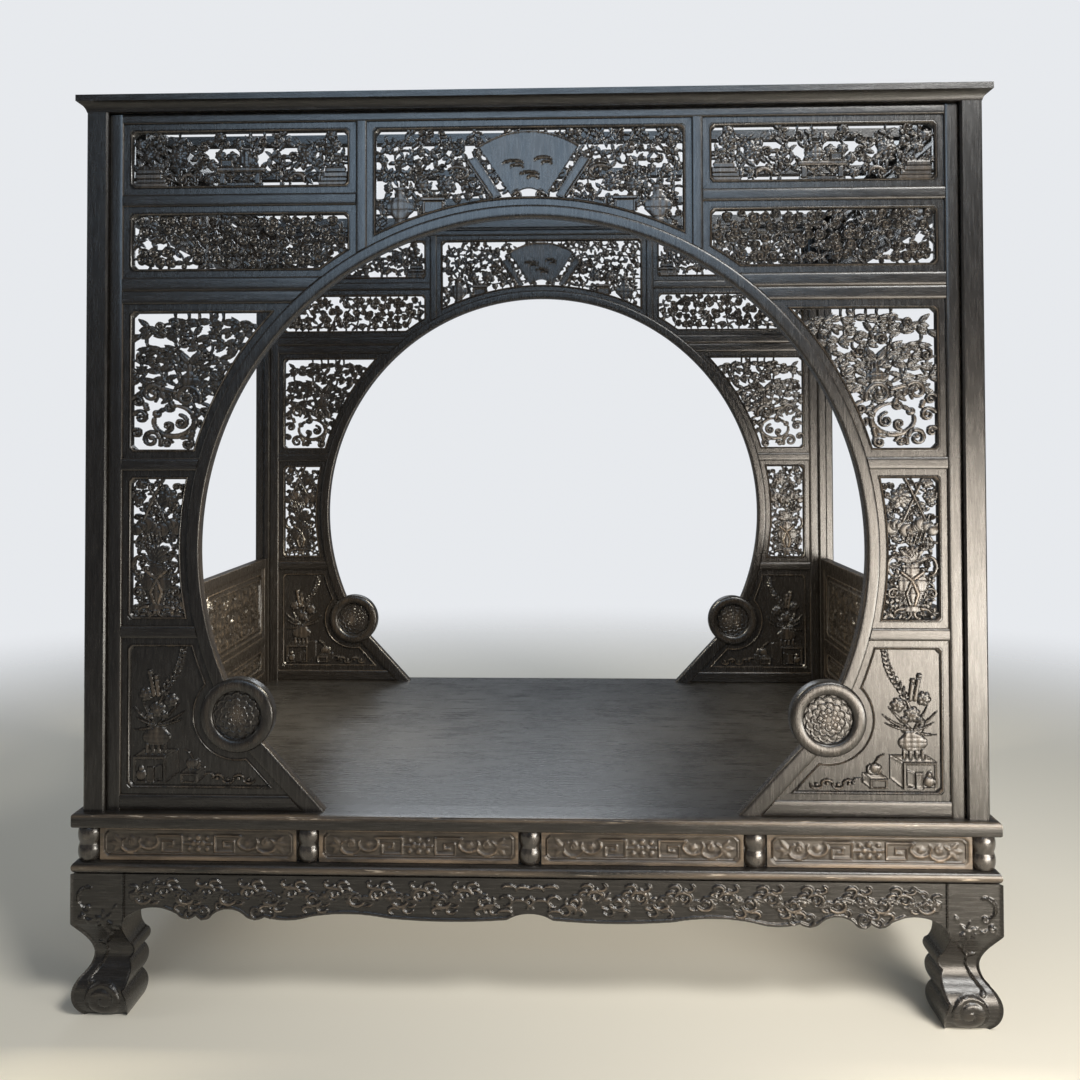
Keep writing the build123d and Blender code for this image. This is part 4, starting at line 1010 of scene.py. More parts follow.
@dataclass(frozen=True)
class Field:
    """A field of a panel, bounded by sides in order round it."""

    edges: tuple[Edge, ...]
    corners: tuple[Point, ...]  # roughly where each side meets the one after it

    def distance(self, x: Array, z: Array, inset: float = 0.0) -> Array:
        """Distance to the border, negative inside.

        Args:
            x: Places across.
            z: Heights.
            inset: How far the border is moved inwards.

        Returns:
            Distances.
        """
        return np.maximum.reduce([edge.distance(x, z, inset) for edge in self.edges])

    def outline(self, inset: float, steps: int = 28) -> Array:
        """Closed outline at an inset, with the same points in order at every inset.

        Args:
            inset: How far it lies inside the field's border.
            steps: Points on each round side.

        Returns:
            Points, one row each.
        """
        joints = []
        for number, guess in enumerate(self.corners):
            pair = (self.edges[number], self.edges[(number + 1) % len(self.edges)])
            point = np.array(guess, float)
            for _ in range(8):
                value = np.array([float(edge.distance(point[0], point[1], inset)) for edge in pair])
                point = point - np.linalg.solve(np.array([edge.slope(point) for edge in pair]), value)
            joints.append(point)
        stretches = []
        for number, edge in enumerate(self.edges):
            first, last = joints[number - 1], joints[number]
            if edge.radius:
                centre = np.array(edge.centre)
                start, end = (math.atan2(*(p - centre)[::-1]) for p in (first, last))
                end = start + (end - start + math.pi) % (2 * math.pi) - math.pi
                angle = np.linspace(start, end, steps)[:-1]
                circle = np.stack([np.cos(angle), np.sin(angle)], 1)
                stretches.append(centre + (edge.radius + inset) * circle)
            else:
                stretches.append(np.linspace(first, last, 3)[:-1])
        return np.concatenate(stretches)

    def border(self, solids: Solids, mid: float, half: float, margin: float) -> None:
        """Adds the plain border of a panel, with a bead along its inner edge.

        Args:
            solids: Collection to add to.
            mid: Y of the panel's middle plane.
            half: Half of the border's thickness.
            margin: Width of the border.
        """
        rows = [(-2.0, half), (margin - 8.0, half), (margin - 7.2, half - 1.4), (margin - 5.8, half - 1.2),
                (margin - 5.0, half + 0.8), (margin - 3.6, half + 2.0), (margin - 2.2, half + 1.0),
                (margin - 1.4, half - 0.6), (margin, half - 2.4)]
        # the bead's crest gets the lighter brown: real rubbing and a painted highlight along the bead
        shine = [0.15, 0.25, 0.1, 0.2, 0.8, 1.0, 0.8, 0.3, 0.1]
        section = rows + [(inset, -out) for inset, out in rows[::-1]]
        rings = []
        for inset, out in section:
            line = self.outline(inset)
            rings.append(np.stack([line[:, 0], np.full(len(line), mid - out), line[:, 1]], 1))
        raised = np.array(shine + shine[::-1])[:, None]
        solids.add_loft(np.stack(rings), np.broadcast_to(raised, (len(rings), len(rings[0]))), closed=True)


def cut_corner(signs: tuple[int, int], corner: Point, cut: float, margin: float) -> Edge:
    """A small side that cuts a square corner of a field.

    Args:
        signs: Which corner, as signs of its X and Z.
        corner: The corner of the field's border.
        cut: Length cut off each side at the opening.
        margin: Inset of the opening.

    Returns:
        The side.
    """
    root = math.sqrt(2)
    normal = (signs[0] / root, signs[1] / root)
    offset = normal[0] * corner[0] + normal[1] * corner[1]
    return Edge(normal=normal, offset=offset, rate=root + cut / root / margin)


def member_section(width: float, half: float) -> tuple[Array, Array, Array]:
    """Section of a member: a broad slightly convex face on both sides with eased edges.

    Args:
        width: Width across the face.
        half: Half of the thickness.

    Returns:
        Places across, distances out from the middle plane, and a mask that peaks in a thin line along each
        edge, for real edge rubbing and a painted edge highlight.
    """
    highest, share_of_width = 3.4, 0.12
    crown = min(highest, share_of_width * width)
    share = np.sin(np.linspace(-np.pi / 2, np.pi / 2, 21))
    out = half - crown + crown * (1 - np.abs(share) ** 5) ** 0.55
    # a thin line along each edge gets the lighter brown: real edge rubbing and a painted highlight
    proud = 0.1 + 0.9 * np.exp(-(((np.abs(share) - 0.96) / 0.06) ** 2))
    across = width * (1 + share) / 2
    return (np.concatenate([across, across[::-1]]), np.concatenate([out, -out[::-1]]),
            np.concatenate([proud, proud[::-1]]))


def straight_bar(low: Point, high: Point, upright: bool, mid: float, half: float) -> Solids:
    """A straight member in a plane that faces the front.

    Args:
        low: Lowest corner.
        high: Highest corner.
        upright: Whether it runs up rather than across.
        mid: Y of its middle plane.
        half: Half of its thickness.

    Returns:
        The solid.
    """
    long, wide = (1, 0) if upright else (0, 1)
    across, out, proud = member_section(high[wide] - low[wide], half)
    rings = []
    for share in (0.0, 1.0):
        place = np.full(len(across), low[long] + share * (high[long] - low[long]))
        x, z = (low[wide] + across, place) if upright else (place, low[wide] + across)
        rings.append(np.stack([x, mid - out, z], 1))
    return Solids().add_loft(np.stack(rings), proud)


def carved_plate(canvas: Canvas, across: Array, low: Array, high: float, face: float, depth: float,
                 rear: float) -> Solids:
    """A plate that is carved on its front only, with a straight top and any lower edge.

    At each place across, a section runs up the front from the lower edge to the top and down the
    flat rear; the front lies behind its face by the depth times what the carving lacks of full
    height.

    Args:
        canvas: The carving.
        across: Places across.
        low: Lower edge at each of them.
        high: The top.
        face: Y of the front where the carving stands full.
        depth: Depth of the ground.
        rear: Y of the rear.

    Returns:
        The solid.
    """
    rise = np.linspace(0, 1, max(8, int((high - low.min()) / canvas.pitch)))[None, :]
    z = low[:, None] + rise * (high - low[:, None])
    x = np.broadcast_to(across[:, None], z.shape)
    height = canvas.sample(x, z)
    front = np.stack([x, face + depth * (1 - height), z], -1)
    back = np.stack([x[:, :2], np.full_like(x[:, :2], rear), np.stack([z[:, -1], z[:, 0]], 1)], -1)
    # the carving's height also sets the lighter brown on its crests: real rubbing and a painted highlight
    proud = np.concatenate([height, np.zeros((len(x), 2))], 1)
    return Solids().add_loft(np.concatenate([front, back], 1), proud)


def side_field(far: float, low: float, high: float, cut: float, margin: float, edges: tuple[Edge, ...],
               corners: tuple[Point, ...]) -> Field:
    """A field with square lower, outer and upper sides, cut outer corners and any sides after them.

    Args:
        far: Outer side.
        low: Lower side.
        high: Upper side.
        cut: Length cut off each side at a corner.
        margin: Inset at which the corner is fully cut.
        edges: The other sides, from the upper one round to the lower one.
        corners: Roughly where the upper side and each of these meet the next.

    Returns:
        The field.
    """
    square = (Edge((0, -1), -low), cut_corner((1, -1), (far, low), cut, margin),
              Edge((1, 0), far), cut_corner((1, 1), (far, high), cut, margin), Edge((0, 1), high))
    return Field(square + edges, ((far, low), (far, low), (far, high), (far, high)) + corners)


def box_field(near: float, far: float, low: float, high: float, cut: float, margin: float) -> Field:
    """A field with four square sides and cut corners.

    Args:
        near: Inner side.
        far: Outer side.
        low: Lower side.
        high: Upper side.
        cut: Length cut off each side at a corner.
        margin: Inset at which the corner is fully cut.

    Returns:
        The field.
    """
    edges = (cut_corner((-1, 1), (near, high), cut, margin), Edge((-1, 0), -near),
             cut_corner((-1, -1), (near, low), cut, margin))
    corners = ((near, high), (near, high), (near, low), (near, low))
    return side_field(far, low, high, cut, margin, edges, corners)


def canvas_over(field: Field, margin: float, pitch: float) -> Canvas:
    """An empty canvas that covers a field's opening.

    Args:
        field: The field.
        margin: Inset of the opening.
        pitch: Grid spacing.

    Returns:
        The canvas.
    """
    line, room = field.outline(margin), 4
    return Canvas(tuple(line.min(0) - room), tuple(line.max(0) + room), pitch)


def framed_panel(field: Field, canvas: Canvas, pierced: bool, mid: float, half: float, margin: float,
                 low: float, rise: float) -> Solids:
    """A panel: its plain border and its carving.

    Args:
        field: The panel's field.
        canvas: Its carving.
        pierced: Whether the ground is cut away.
        mid: Y of its middle plane.
        half: Half of the border's thickness.
        margin: Width of the border.
        low: Half thickness of the carving's ground.
        rise: How much the carving adds to it.

    Returns:
        The solids.
    """
    solids = Solids()
    field.border(solids, mid, half, margin)
    edge = field.distance(*np.meshgrid(canvas.across, canvas.up), margin - LAP)
    inside = np.maximum(edge, canvas.reach) if pierced else edge
    return solids.add_copy(carved_sheet(canvas, inside, mid, low, rise))


def arc_through(first: Point, middle: Point, last: Point,
                steps: int = 14) -> Array:
    """Points on the arc through three points.

    Args:
        first: First end.
        middle: A point between the ends.
        last: Last end.
        steps: How many points.

    Returns:
        Points, one row each.
    """
    a, b, c = (complex(*point) for point in (first, middle, last))
    w = (c - a) / (b - a)
    centre = a + (b - a) * (w - abs(w) ** 2) / (w - w.conjugate())
    start, turn = np.angle(a - centre), np.angle((c - centre) / (a - centre))
    through = np.angle((b - centre) / (a - centre))
    if turn * through < 0 or abs(turn) < abs(through):
        turn -= math.copysign(2 * math.pi, turn)
    angle = start + turn * np.linspace(0, 1, steps)
    return np.stack([centre.real + abs(a - centre) * np.cos(angle),
                     centre.imag + abs(a - centre) * np.sin(angle)], 1)


def mitred_loop(section: Sequence[Triple], half_length: float,
                half_depth: float) -> Solids:
    """A moulding round a rectangle with mitred corners.

    Args:
        section: Distance in from the outer edge, height and proudness of each corner of the section.
        half_length: Half of the rectangle's length.
        half_depth: Half of its depth.

    Returns:
        The solid.
    """
    inset, height, proud = (np.array(column) for column in zip(*section))
    rings = [np.stack([x * (half_length - inset), y * (half_depth - inset), height], 1)
             for x, y in ((1, -1), (1, 1), (-1, 1), (-1, -1))]
    return Solids().add_loft(np.stack(rings), proud, closed=True)


# ================================================================ moon gate
@dataclass(frozen=True)
class GateSizes:
    """Sizes of a moon gate, in millimetres; distances across are from the bed's middle."""

    ring_centre: float = 1130.0
    ring_inner: float = 814.5
    ring_width: float = 30.5
    half_thickness: float = 17.0
    tongue: float = 8.0
    stile: float = 34.0
    base_lift: float = 20.0
    foot_rail: float = 38.0
    middle_rail: float = 30.0
    split_rail: float = 33.0
    side_height: float = 382.0
    cloud_height: float = 176.5
    panel_half: float = 10.0
    margin: float = 22.0
    corner_cut: float = 11.0
    fan_half: float = 399.0
    mullion_width: float = 27.0
    roundel_x: float = 718.0
    roundel_z: float = 725.0
    roundel_radius: float = 91.0
    disc_radius: float = 59.0
    roundel_half: float = 21.0
    foot_tip: float = 501.5
    foot_top: Point = (656.0, 660.0)
    foot_width: float = 40.0
    carving_low: float = 3.2
    carving_rise: float = 6.0
    ground_half: float = 5.6
    relief_rise: float = 6.4
    pitches: dict[Face, float] = field(default_factory=lambda: {Face.FRONT: 2.05, Face.BACK: 2.9})


class MoonGate:
    """A moon gate: moulded members, roundels, openwork and relief panels.

    Everything is worked out for the right-hand half and mirrored.
    """

    LEVEL = ("top_rail", "lintel_rails", "side_rails")

    def __init__(self, sizes: GateSizes, material: object, level: object, carved: object) -> None:
        """Takes the gate's places from the frame.

        Args:
            sizes: The gate's sizes.
            material: Finish of the upright members.
            level: Finish of the level ones.
            carved: Finish of the panels.
        """
        self.sizes = sizes
        self.material = material
        self.level = level
        self.carved = carved
        self.mid = self.middle_of("front_arch")
        low, high = (np.array(corner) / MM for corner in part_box("front_side_stiles"))
        top_low, top_high = (np.array(corner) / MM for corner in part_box("front_top_rail"))
        self.outer = high[0] - sizes.tongue
        self.field_outer = self.outer - sizes.stile
        self.base = low[2] + sizes.base_lift
        self.top = top_high[2]
        self.field_top = top_low[2]
        self.relief_low = self.base + sizes.foot_rail
        self.relief_high = self.relief_low + sizes.side_height
        self.tall_low = self.relief_high + sizes.middle_rail
        self.tall_high = self.tall_low + sizes.side_height
        self.spandrel_low = self.tall_high + sizes.middle_rail
        self.spandrel_high = self.spandrel_low + sizes.side_height
        self.split = self.spandrel_high + sizes.split_rail
        self.cloud_low = self.split + sizes.split_rail
        self.cloud_high = self.cloud_low + sizes.cloud_height
        self.antiques_low = self.cloud_high + sizes.middle_rail
        self.ring_outer = sizes.ring_inner + sizes.ring_width
        self.mullion_outer = sizes.fan_half + sizes.mullion_width
        run = np.array([sizes.foot_top[0] - sizes.foot_tip, sizes.foot_top[1] - self.base])
        self.foot_along = run / np.hypot(*run)
        self.foot_across = np.array([self.foot_along[1], -self.foot_along[0]])
        self.foot_start = np.array([sizes.foot_tip, self.base])

    @staticmethod
    def middle_of(node: str) -> float:
        """Y of a node's middle plane.

        Args:
            node: The node's name.

        Returns:
            The place in millimetres.
        """
        low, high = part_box(node)
        return (low.y + high.y) / 2 / MM

    # ------------------------------------------------ members
    def member(self, path: Path, width: float, steps: int,
               both_sides: bool = True) -> Solids:
        """Sweeps a member's section along a path.

        Args:
            path: Gives points for places across the member at a share of its length.
            width: The member's width.
            steps: Sections along the path.
            both_sides: Whether it also stands on the left-hand side.

        Returns:
            The solids.
        """
        across, out, proud = member_section(width, self.sizes.half_thickness)
        rings = []
        for share in np.linspace(0, 1, steps):
            points = path(across, share)
            rings.append(np.stack([points[:, 0], self.mid + out, points[:, 1]], 1))
        solids = Solids().add_loft(np.stack(rings), proud)
        return solids.on_both_sides() if both_sides else solids

    def ring_x(self, radius: float, z: Array) -> Array:
        """Half the width of a circle round the ring's centre.

        Args:
            radius: The circle's radius.
            z: Heights.

        Returns:
            Distances from the middle.
        """
        return np.sqrt(np.maximum(radius**2 - (z - self.sizes.ring_centre) ** 2, 0.0))

    def foot_x(self, z: Array, across: float) -> Array:
        """Distance from the middle of a line beside the foot rail's opening edge.

        Args:
            z: Heights.
            across: Distance from the opening edge.

        Returns:
            Distances from the middle.
        """
        start = self.foot_start + self.foot_across * across
        return start[0] + (z - start[1]) * self.foot_along[0] / self.foot_along[1]

    def rail(self, low: float, high: float, near: Curve) -> Solids:
        """A rail from the outer stile inwards to a line or the ring.

        Args:
            low: Its lower edge.
            high: Its upper edge.
            near: Gives its inner end at each height.

        Returns:
            The solids.
        """
        def path(across: Array, share: float) -> Array:
            """Points at a share of the way outwards."""
            z = low + across
            start = near(z)
            return np.stack([start + share * (self.field_outer - start), z], 1)

        return self.member(path, high - low, 2)

    def upright(self, near: float, width: float, low: Curve, high: float) -> Solids:
        """An upright member.

        Args:
            near: Its inner edge.
            width: Its width.
            low: Gives its lower end at each place across.
            high: Its upper end.

        Returns:
            The solids.
        """
        def path(across: Array, share: float) -> Array:
            """Points at a share of the way up."""
            x = near + across
            start = low(x)
            return np.stack([x, start + share * (high - start)], 1)

        return self.member(path, width, 2)

    def ring(self, start: Curve, end: Curve, steps: int,
             both_sides: bool) -> Solids:
        """A stretch of the ring rail.

        Args:
            start: Gives its first bearing at each radius.
            end: Gives its last bearing at each radius.
            steps: Sections along it.
            both_sides: Whether it also stands on the left-hand side.

        Returns:
            The solids.
        """
        def path(across: Array, share: float) -> Array:
            """Points at a share of the way round."""
            radius = self.sizes.ring_inner + across
            angle = start(radius) + share * (end(radius) - start(radius))
            return np.stack([radius * np.cos(angle), self.sizes.ring_centre + radius * np.sin(angle)], 1)

        return self.member(path, self.sizes.ring_width, steps, both_sides)

    def members(self) -> dict[str, Solids]:
        """All the members by the name of the CAD node that they stand for."""
        s = self.sizes
        centre = np.array([0.0, s.ring_centre])
        roundel = np.array([s.roundel_x, s.roundel_z])
        away = roundel - centre
        distance, bearing = float(np.hypot(*away)), math.atan2(away[1], away[0])

        def at_split(radius: Array) -> Array:
            """Bearing where the ring's two sections meet."""
            return np.arcsin((self.split - s.ring_centre) / radius)

        def at_roundel(radius: Array) -> Array:
            """Bearing where the ring meets the roundel."""
            cosine = (radius**2 + distance**2 - s.roundel_radius**2) / (2 * radius * distance)
            return bearing + np.arccos(cosine)

        def on_ring(z: Array) -> Array:
            """Where a rail's inner end lies on the ring."""
            return self.ring_x(self.ring_outer, z)

        def foot_path(across: Array, share: float) -> Array:
            """Points of the slanted rail, from the base to the roundel."""
            place = self.foot_start + self.foot_across * across[:, None]
            to_centre = roundel - self.foot_start
            along = to_centre @ self.foot_along
            side = to_centre @ self.foot_across
            start = (self.base - place[:, 1]) / self.foot_along[1]
            end = along - np.sqrt(s.roundel_radius**2 - (across - side) ** 2)
            return place + self.foot_along * (start + share * (end - start))[:, None]

        def flat(level: float) -> Curve:
            """A straight end at a level."""
            return lambda places: np.full(len(places), level)

        def mullion_foot(x: Array) -> Array:
            """Where a mullion stands on the ring."""
            return s.ring_centre + np.sqrt(self.ring_outer**2 - x**2)

        def top_path(across: Array, share: float) -> Array:
            """Points of the top rail, from left to right."""
            x = np.full(len(across), (2 * share - 1) * self.field_outer)
            return np.stack([x, self.field_top + across], 1)

        lintel_rails, side_rails = Solids(), Solids()
        plans = [
            (lintel_rails, self.cloud_high, self.antiques_low, flat(self.mullion_outer)),
            (lintel_rails, self.split, self.cloud_low, on_ring),
            (side_rails, self.spandrel_high, self.split, on_ring),
            (side_rails, self.tall_high, self.spandrel_low, on_ring),
            (side_rails, self.relief_high, self.tall_low, on_ring),
            (side_rails, self.base, self.relief_low, lambda z: self.foot_x(z, s.foot_width)),
        ]
        for group, low, high, near in plans:
            group.add_copy(self.rail(low, high, near))
        stile = self.outer - self.field_outer
        return {
            "top_rail": self.member(top_path, self.top - self.field_top, 2, False),
            "lintel_stiles": self.upright(self.field_outer, stile, flat(self.split), self.top),
            "mullions": self.upright(s.fan_half, s.mullion_width, mullion_foot, self.field_top),
            "lintel_rails": lintel_rails,
            "arch": self.ring(at_split, lambda r: np.pi - at_split(r), 61, False),
            "side_stiles": self.upright(self.field_outer, stile, flat(self.base), self.split),
            "side_rails": side_rails,
            "ring_sides": self.ring(at_roundel, at_split, 61, True),
            "foot_rails": self.member(foot_path, s.foot_width, 2),
        }

    def roundels(self) -> Solids:
        """Turned roundels: a torus, a groove and a lotus of rimmed petals in a sunk disc.

        The height over the disc is worked out on a polar grid.  Each ring of petals is a ring of
        domes with raised rims, and an inner ring lies over an outer one.
        """
        s = self.sizes
        angle = np.linspace(0, 2 * np.pi, 157)[:-1][None, :]
        radius = np.concatenate([np.linspace(0.5, s.disc_radius - 2.5, 44), [s.disc_radius - 1.0]])[:, None]
        share = radius / s.disc_radius
        height = np.full((len(radius), angle.shape[1]), 0.1)
        for middle, reach, petals, turn, lift in ((0.73, 0.235, 13, 0.1, 0.3), (0.52, 0.2, 11, 0.35, 0.46),
                                                  (0.33, 0.15, 8, 0.0, 0.62), (0.18, 0.11, 6, 0.3, 0.74)):
            step = 2 * np.pi / petals
            lean = np.mod(angle - turn + step / 2, step) - step / 2
            gap = np.hypot(share * np.cos(lean) - middle, share * np.sin(lean)) / reach
            dome = lift + 0.2 * (1 - gap**2) + 0.2 * np.exp(-(((gap - 0.86) / 0.1) ** 2))
            height = np.where((gap < 1) | (share < middle), np.where(gap < 1, dome, lift - 0.1), height)
        height = np.where(share < 0.11, 0.95, height)
        disc = 9.5 + 9.0 * height
        swell = np.linspace(0, np.pi, 17)
        torus_half = (s.roundel_radius - s.disc_radius) / 2
        torus_radius = (s.roundel_radius + s.disc_radius) / 2 - torus_half * np.cos(swell)
        torus_out = 11.0 + (s.roundel_half - 11.0) * np.sin(swell) ** 0.6
        profile = np.concatenate([radius[:, 0], torus_radius])
        ones = np.ones_like(angle)
        out = np.concatenate([disc, torus_out[:, None] * ones])
        proud = np.concatenate([np.clip(height, 0, 1), (0.1 + 0.6 * np.sin(swell) ** 3)[:, None] * ones])
        loops = np.concatenate([profile, profile[::-1]])[:, None]
        depth = np.concatenate([-out, out[::-1]])
        rings = np.stack([s.roundel_x + loops * np.cos(angle), self.mid + depth,
                          s.roundel_z + loops * np.sin(angle)], -1)
        return Solids().add_loft(rings, np.concatenate([proud, proud[::-1]])).on_both_sides()

    # ------------------------------------------------ fields
    def fields(self) -> dict[str, Field]:
        """Every field of the right-hand half, and the fan's, by name."""
        s = self.sizes
        far, near, top, half = self.field_outer, self.mullion_outer, self.field_top, s.fan_half
        cut, margin = s.corner_cut, s.margin
        ring = Edge(centre=(0.0, s.ring_centre), radius=self.ring_outer)

        def on_ring(z: float) -> Point:
            """The ring's point at a height."""
            return float(self.ring_x(self.ring_outer, np.array(z))), z

        def over_ring(x: float) -> Point:
            """The ring's upper point at a distance from the middle."""
            return x, s.ring_centre + math.sqrt(self.ring_outer**2 - x**2)

        def beside(low: float, high: float, *edges: Edge, corners: tuple[Point, ...]) -> Field:
            """A field along the outer stile."""
            return side_field(far, low, high, cut, margin, edges, corners)

        fan = Field((ring, Edge((1, 0), half), cut_corner((1, 1), (half, top), cut, margin),
                     Edge((0, 1), top), cut_corner((-1, 1), (-half, top), cut, margin),
                     Edge((-1, 0), half)),
                    (over_ring(half), (half, top), (half, top), (-half, top), (-half, top),
                     over_ring(-half)))
        upper_near = (near, self.cloud_high)
        cloud = beside(self.cloud_low, self.cloud_high, cut_corner((-1, 1), upper_near, cut, margin),
                       Edge((-1, 0), -near), ring,
                       corners=(upper_near, upper_near, over_ring(near), on_ring(self.cloud_low)))
        roundel = Edge(centre=(s.roundel_x, s.roundel_z), radius=s.roundel_radius)
        inner = self.foot_start + self.foot_across * s.foot_width
        foot = Edge(normal=(-self.foot_across[0], -self.foot_across[1]),
                    offset=float(-inner @ self.foot_across), up_to=s.roundel_z)
        low, high = self.relief_low, self.relief_high
        relief = beside(low, high, ring, roundel, foot,
                        corners=(on_ring(high), (s.roundel_x + 60.0, s.roundel_z + 78.0),
                                 (s.roundel_x - 25.0, s.roundel_z - 100.0),
                                 (float(self.foot_x(np.array(low), s.foot_width)), low)))
        made = {"antiques": box_field(near, far, self.antiques_low, top, cut, margin), "cloud": cloud,
                "fan": fan}
        for name, low, high in (("spandrel", self.spandrel_low, self.spandrel_high),
                                ("tall", self.tall_low, self.tall_high)):
            made[name] = beside(low, high, ring, corners=(on_ring(high), on_ring(low)))
        made["relief"] = relief
        return made

    def panel(self, field: Field, canvas: Canvas, pierced: bool, both_sides: bool) -> Solids:
        """A panel: its border and its carving.

        Args:
            field: The panel's field.
            canvas: Its carving.
            pierced: Whether the ground is cut away.
            both_sides: Whether the panel also stands on the left-hand side.

        Returns:
            The solids.
        """
        s = self.sizes
        low, rise = (s.carving_low, s.carving_rise) if pierced else (s.ground_half, s.relief_rise)
        solids = framed_panel(field, canvas, pierced, self.mid, s.panel_half, s.margin, low, rise)
        return solids.on_both_sides() if both_sides else solids

    # ------------------------------------------------ motifs
    def carve_antiques(self, canvas: Canvas, inside: Distance) -> None:
        """Leafy sprays round a low table, with books, boxes and rocks at the ends.

        Args:
            canvas: The canvas.
            inside: Distance to the opening's border.
        """
        low, high = self.antiques_low + self.sizes.margin, self.field_top - self.sizes.margin
        near, far = self.mullion_outer + self.sizes.margin, self.field_outer - self.sizes.margin
        middle = (near + far) / 2
        canvas.foliage(inside, 11, 31.0, {Ornament.LEAVES: 0.62, Ornament.FLOWER: 0.2, Ornament.CURL: 0.18})
        canvas.block((middle - 56, low - 3), (middle + 56, low + 8), 0.7)
        for side in SIDES:
            canvas.block((middle + side * 44 - 7, low + 4), (middle + side * 44 + 7, low + 36), 0.72)
            canvas.arc((middle + side * 24, low + 34), (13, 9), 180, 180, 3.2)
        canvas.block((middle - 60, low + 34), (middle + 60, low + 46), 0.95)
        canvas.vase((middle - 14, low + 46), 46.0, (8, 12, 21, 23, 16, 8, 7, 11))
        canvas.block((middle + 18, low + 46), (middle + 50, low + 66), 0.8, 3.0)
        for place, width, base in ((far - 44, 42, 0), (far - 38, 34, 22), (near + 34, 38, 0),
                                   (near + 30, 30, 22)):
            canvas.block((place - width, low + base - 3), (place + width, low + base + 9), 0.92)
            canvas.block((place - width + 5, low + base + 9), (place + width - 4, low + base + 22), 0.76)
        for side, place in ((1, near + 100), (-1, far - 112)):
            canvas.rosette((place, (low + high) / 2 + 10), 24, 7)
            canvas.arc((place + side * 26, low + 14), (18, 14), 0, 200, 5.0)

    def carve_cloud(self, canvas: Canvas, inside: Distance) -> None:
        """Whorled blossoms on winding stems.

        Args:
            canvas: The canvas.
            inside: Distance to the opening's border.
        """
        canvas.foliage(inside, 23, 28.5, {Ornament.WHORL: 0.74, Ornament.LEAVES: 0.18, Ornament.CURL: 0.08})

    def carve_fan(self, canvas: Canvas, inside: Distance) -> None:
        """A wide open fan between slanted scrolls, with vases among flowering branches beyond.

        Args:
            canvas: The canvas.
            inside: Distance to the opening's border.
        """
        apex = self.sizes.ring_centre + self.ring_outer + self.sizes.margin
        high = self.field_top - self.sizes.margin
        canvas.foliage(inside, 37, 26.0, {Ornament.LEAVES: 0.52, Ornament.FLOWER: 0.26, Ornament.CURL: 0.22})
        for side in SIDES:
            book = [(side * x, apex + z) for x, z in ((66, 2), (88, -6), (156, 92), (128, 100))]
            canvas.facet(book if side > 0 else book[::-1], 0.6)
            canvas.stroke([(side * 92.0, apex), (side * 150.0, apex + 86)], 2.4, 0.85, 0.15)
            canvas.arc((side * 176.0, apex + 60), (26, 15), 90 - side * 60, side * 230, 4.6)
            canvas.vase((side * 318.0, apex - 66), 92.0, (15, 12, 22, 34, 35, 24, 12, 10, 18))
            canvas.block((side * 236.0 - 26, apex - 42), (side * 236.0 + 26, apex - 8), 0.85, 4.0)
            canvas.block((side * 236.0 - 31, apex - 8), (side * 236.0 + 31, apex + 1), 0.95)
            canvas.rosette((side * 206.0, apex + 34), 22.0, 7)
            canvas.rosette((side * 262.0, apex + 30), 20.0, 6)
        canvas.fan((0.0, apex - 62), 74.0, high - apex + 58.0, 0.585)
        for x, z, wide in ((-38, 82, 24), (36, 90, 20), (2, 54, 22)):
            for level in (0, 9):
                canvas.arc((x + level, apex + z - level), (wide - level, 6.0), 180, -180, 1.9)
        canvas.pierce((0.0, apex - 4), (34.0, 26.0))
        for side in SIDES:
            canvas.curl((side * 26.0, apex + 3), 11.0, 1.57 - side * 1.2, side, 3.6, 1.1)

    def carve_spandrel(self, canvas: Canvas, inside: Distance) -> None:
        """Leaf clusters over a bottle, and large open scrolls under it.

        Args:
            canvas: The canvas.
            inside: Distance to the opening's border.
        """
        low = self.spandrel_low + self.sizes.margin
        far = self.field_outer - self.sizes.margin

        def above(x: Array, z: Array) -> Array:
            """Distance to the border of the leafy part, over a slanting line."""
            return np.maximum(inside(x, z), low + 150.0 - 0.45 * (far - x) - z)

        canvas.foliage(above, 53, 33.0,
                       {Ornament.FROND: 0.8, Ornament.LEAVES: 0.12, Ornament.CURL: 0.08}, 1.1)
        canvas.vase((far - 143, low + 152), 66.0, (9, 22, 26, 21, 9, 6, 6, 10))
        for side in SIDES:
            canvas.leaf((far - 143, low + 214), 1.57 + side * 0.9, 40.0, 9.0, -side * 0.5)
        canvas.arc((far - 104, low + 70), (52, 38), 84, 286, 7.4)
        canvas.bud((far - 60.0, low + 88), 10.0)
        canvas.leaf((far - 62.0, low + 90), 2.5, 30.0, 5.0, 0.4)
        for x, z, radius, bearing, hand, half in (
                (-136, 130, 34, 3.5, -1, 6.6), (-48, 138, 29, 3.4, -1, 6.0), (-120, 66, 19, 1.6, 1, 4.8),
                (-88, 58, 14, -1.4, -1, 4.2), (-20, 80, 19, 0.4, 1, 5.0), (-46, 24, 27, 3.6, -1, 6.0),
                (-10, 40, 14, 0.2, 1, 4.4), (-136, 14, 18, 0.9, 1, 5.0), (-176, 24, 15, 2.4, -1, 4.2),
                (-180, 96, 17, 1.4, 1, 4.6), (-176, 62, 12, 0.8, -1, 3.8), (-12, 118, 15, 0.4, 1, 4.4),
                (-90, 104, 12, 3.0, 1, 4.0), (-86, 14, 12, 2.8, -1, 4.0)):
            canvas.curl((far + x, low + z), float(radius), bearing, hand, half, 1.3)
        for ends in (((-106, 142), (-76, 150)), ((-100, 108), (-96, 116)), ((-62, 40), (-66, 30)),
                     ((-150, 44), (-146, 30)), ((-160, 84), (-152, 78)), ((-34, 100), (-30, 112))):
            canvas.stroke([(far + x, low + z) for x, z in ends], 5.4, 0.55, 0.45)

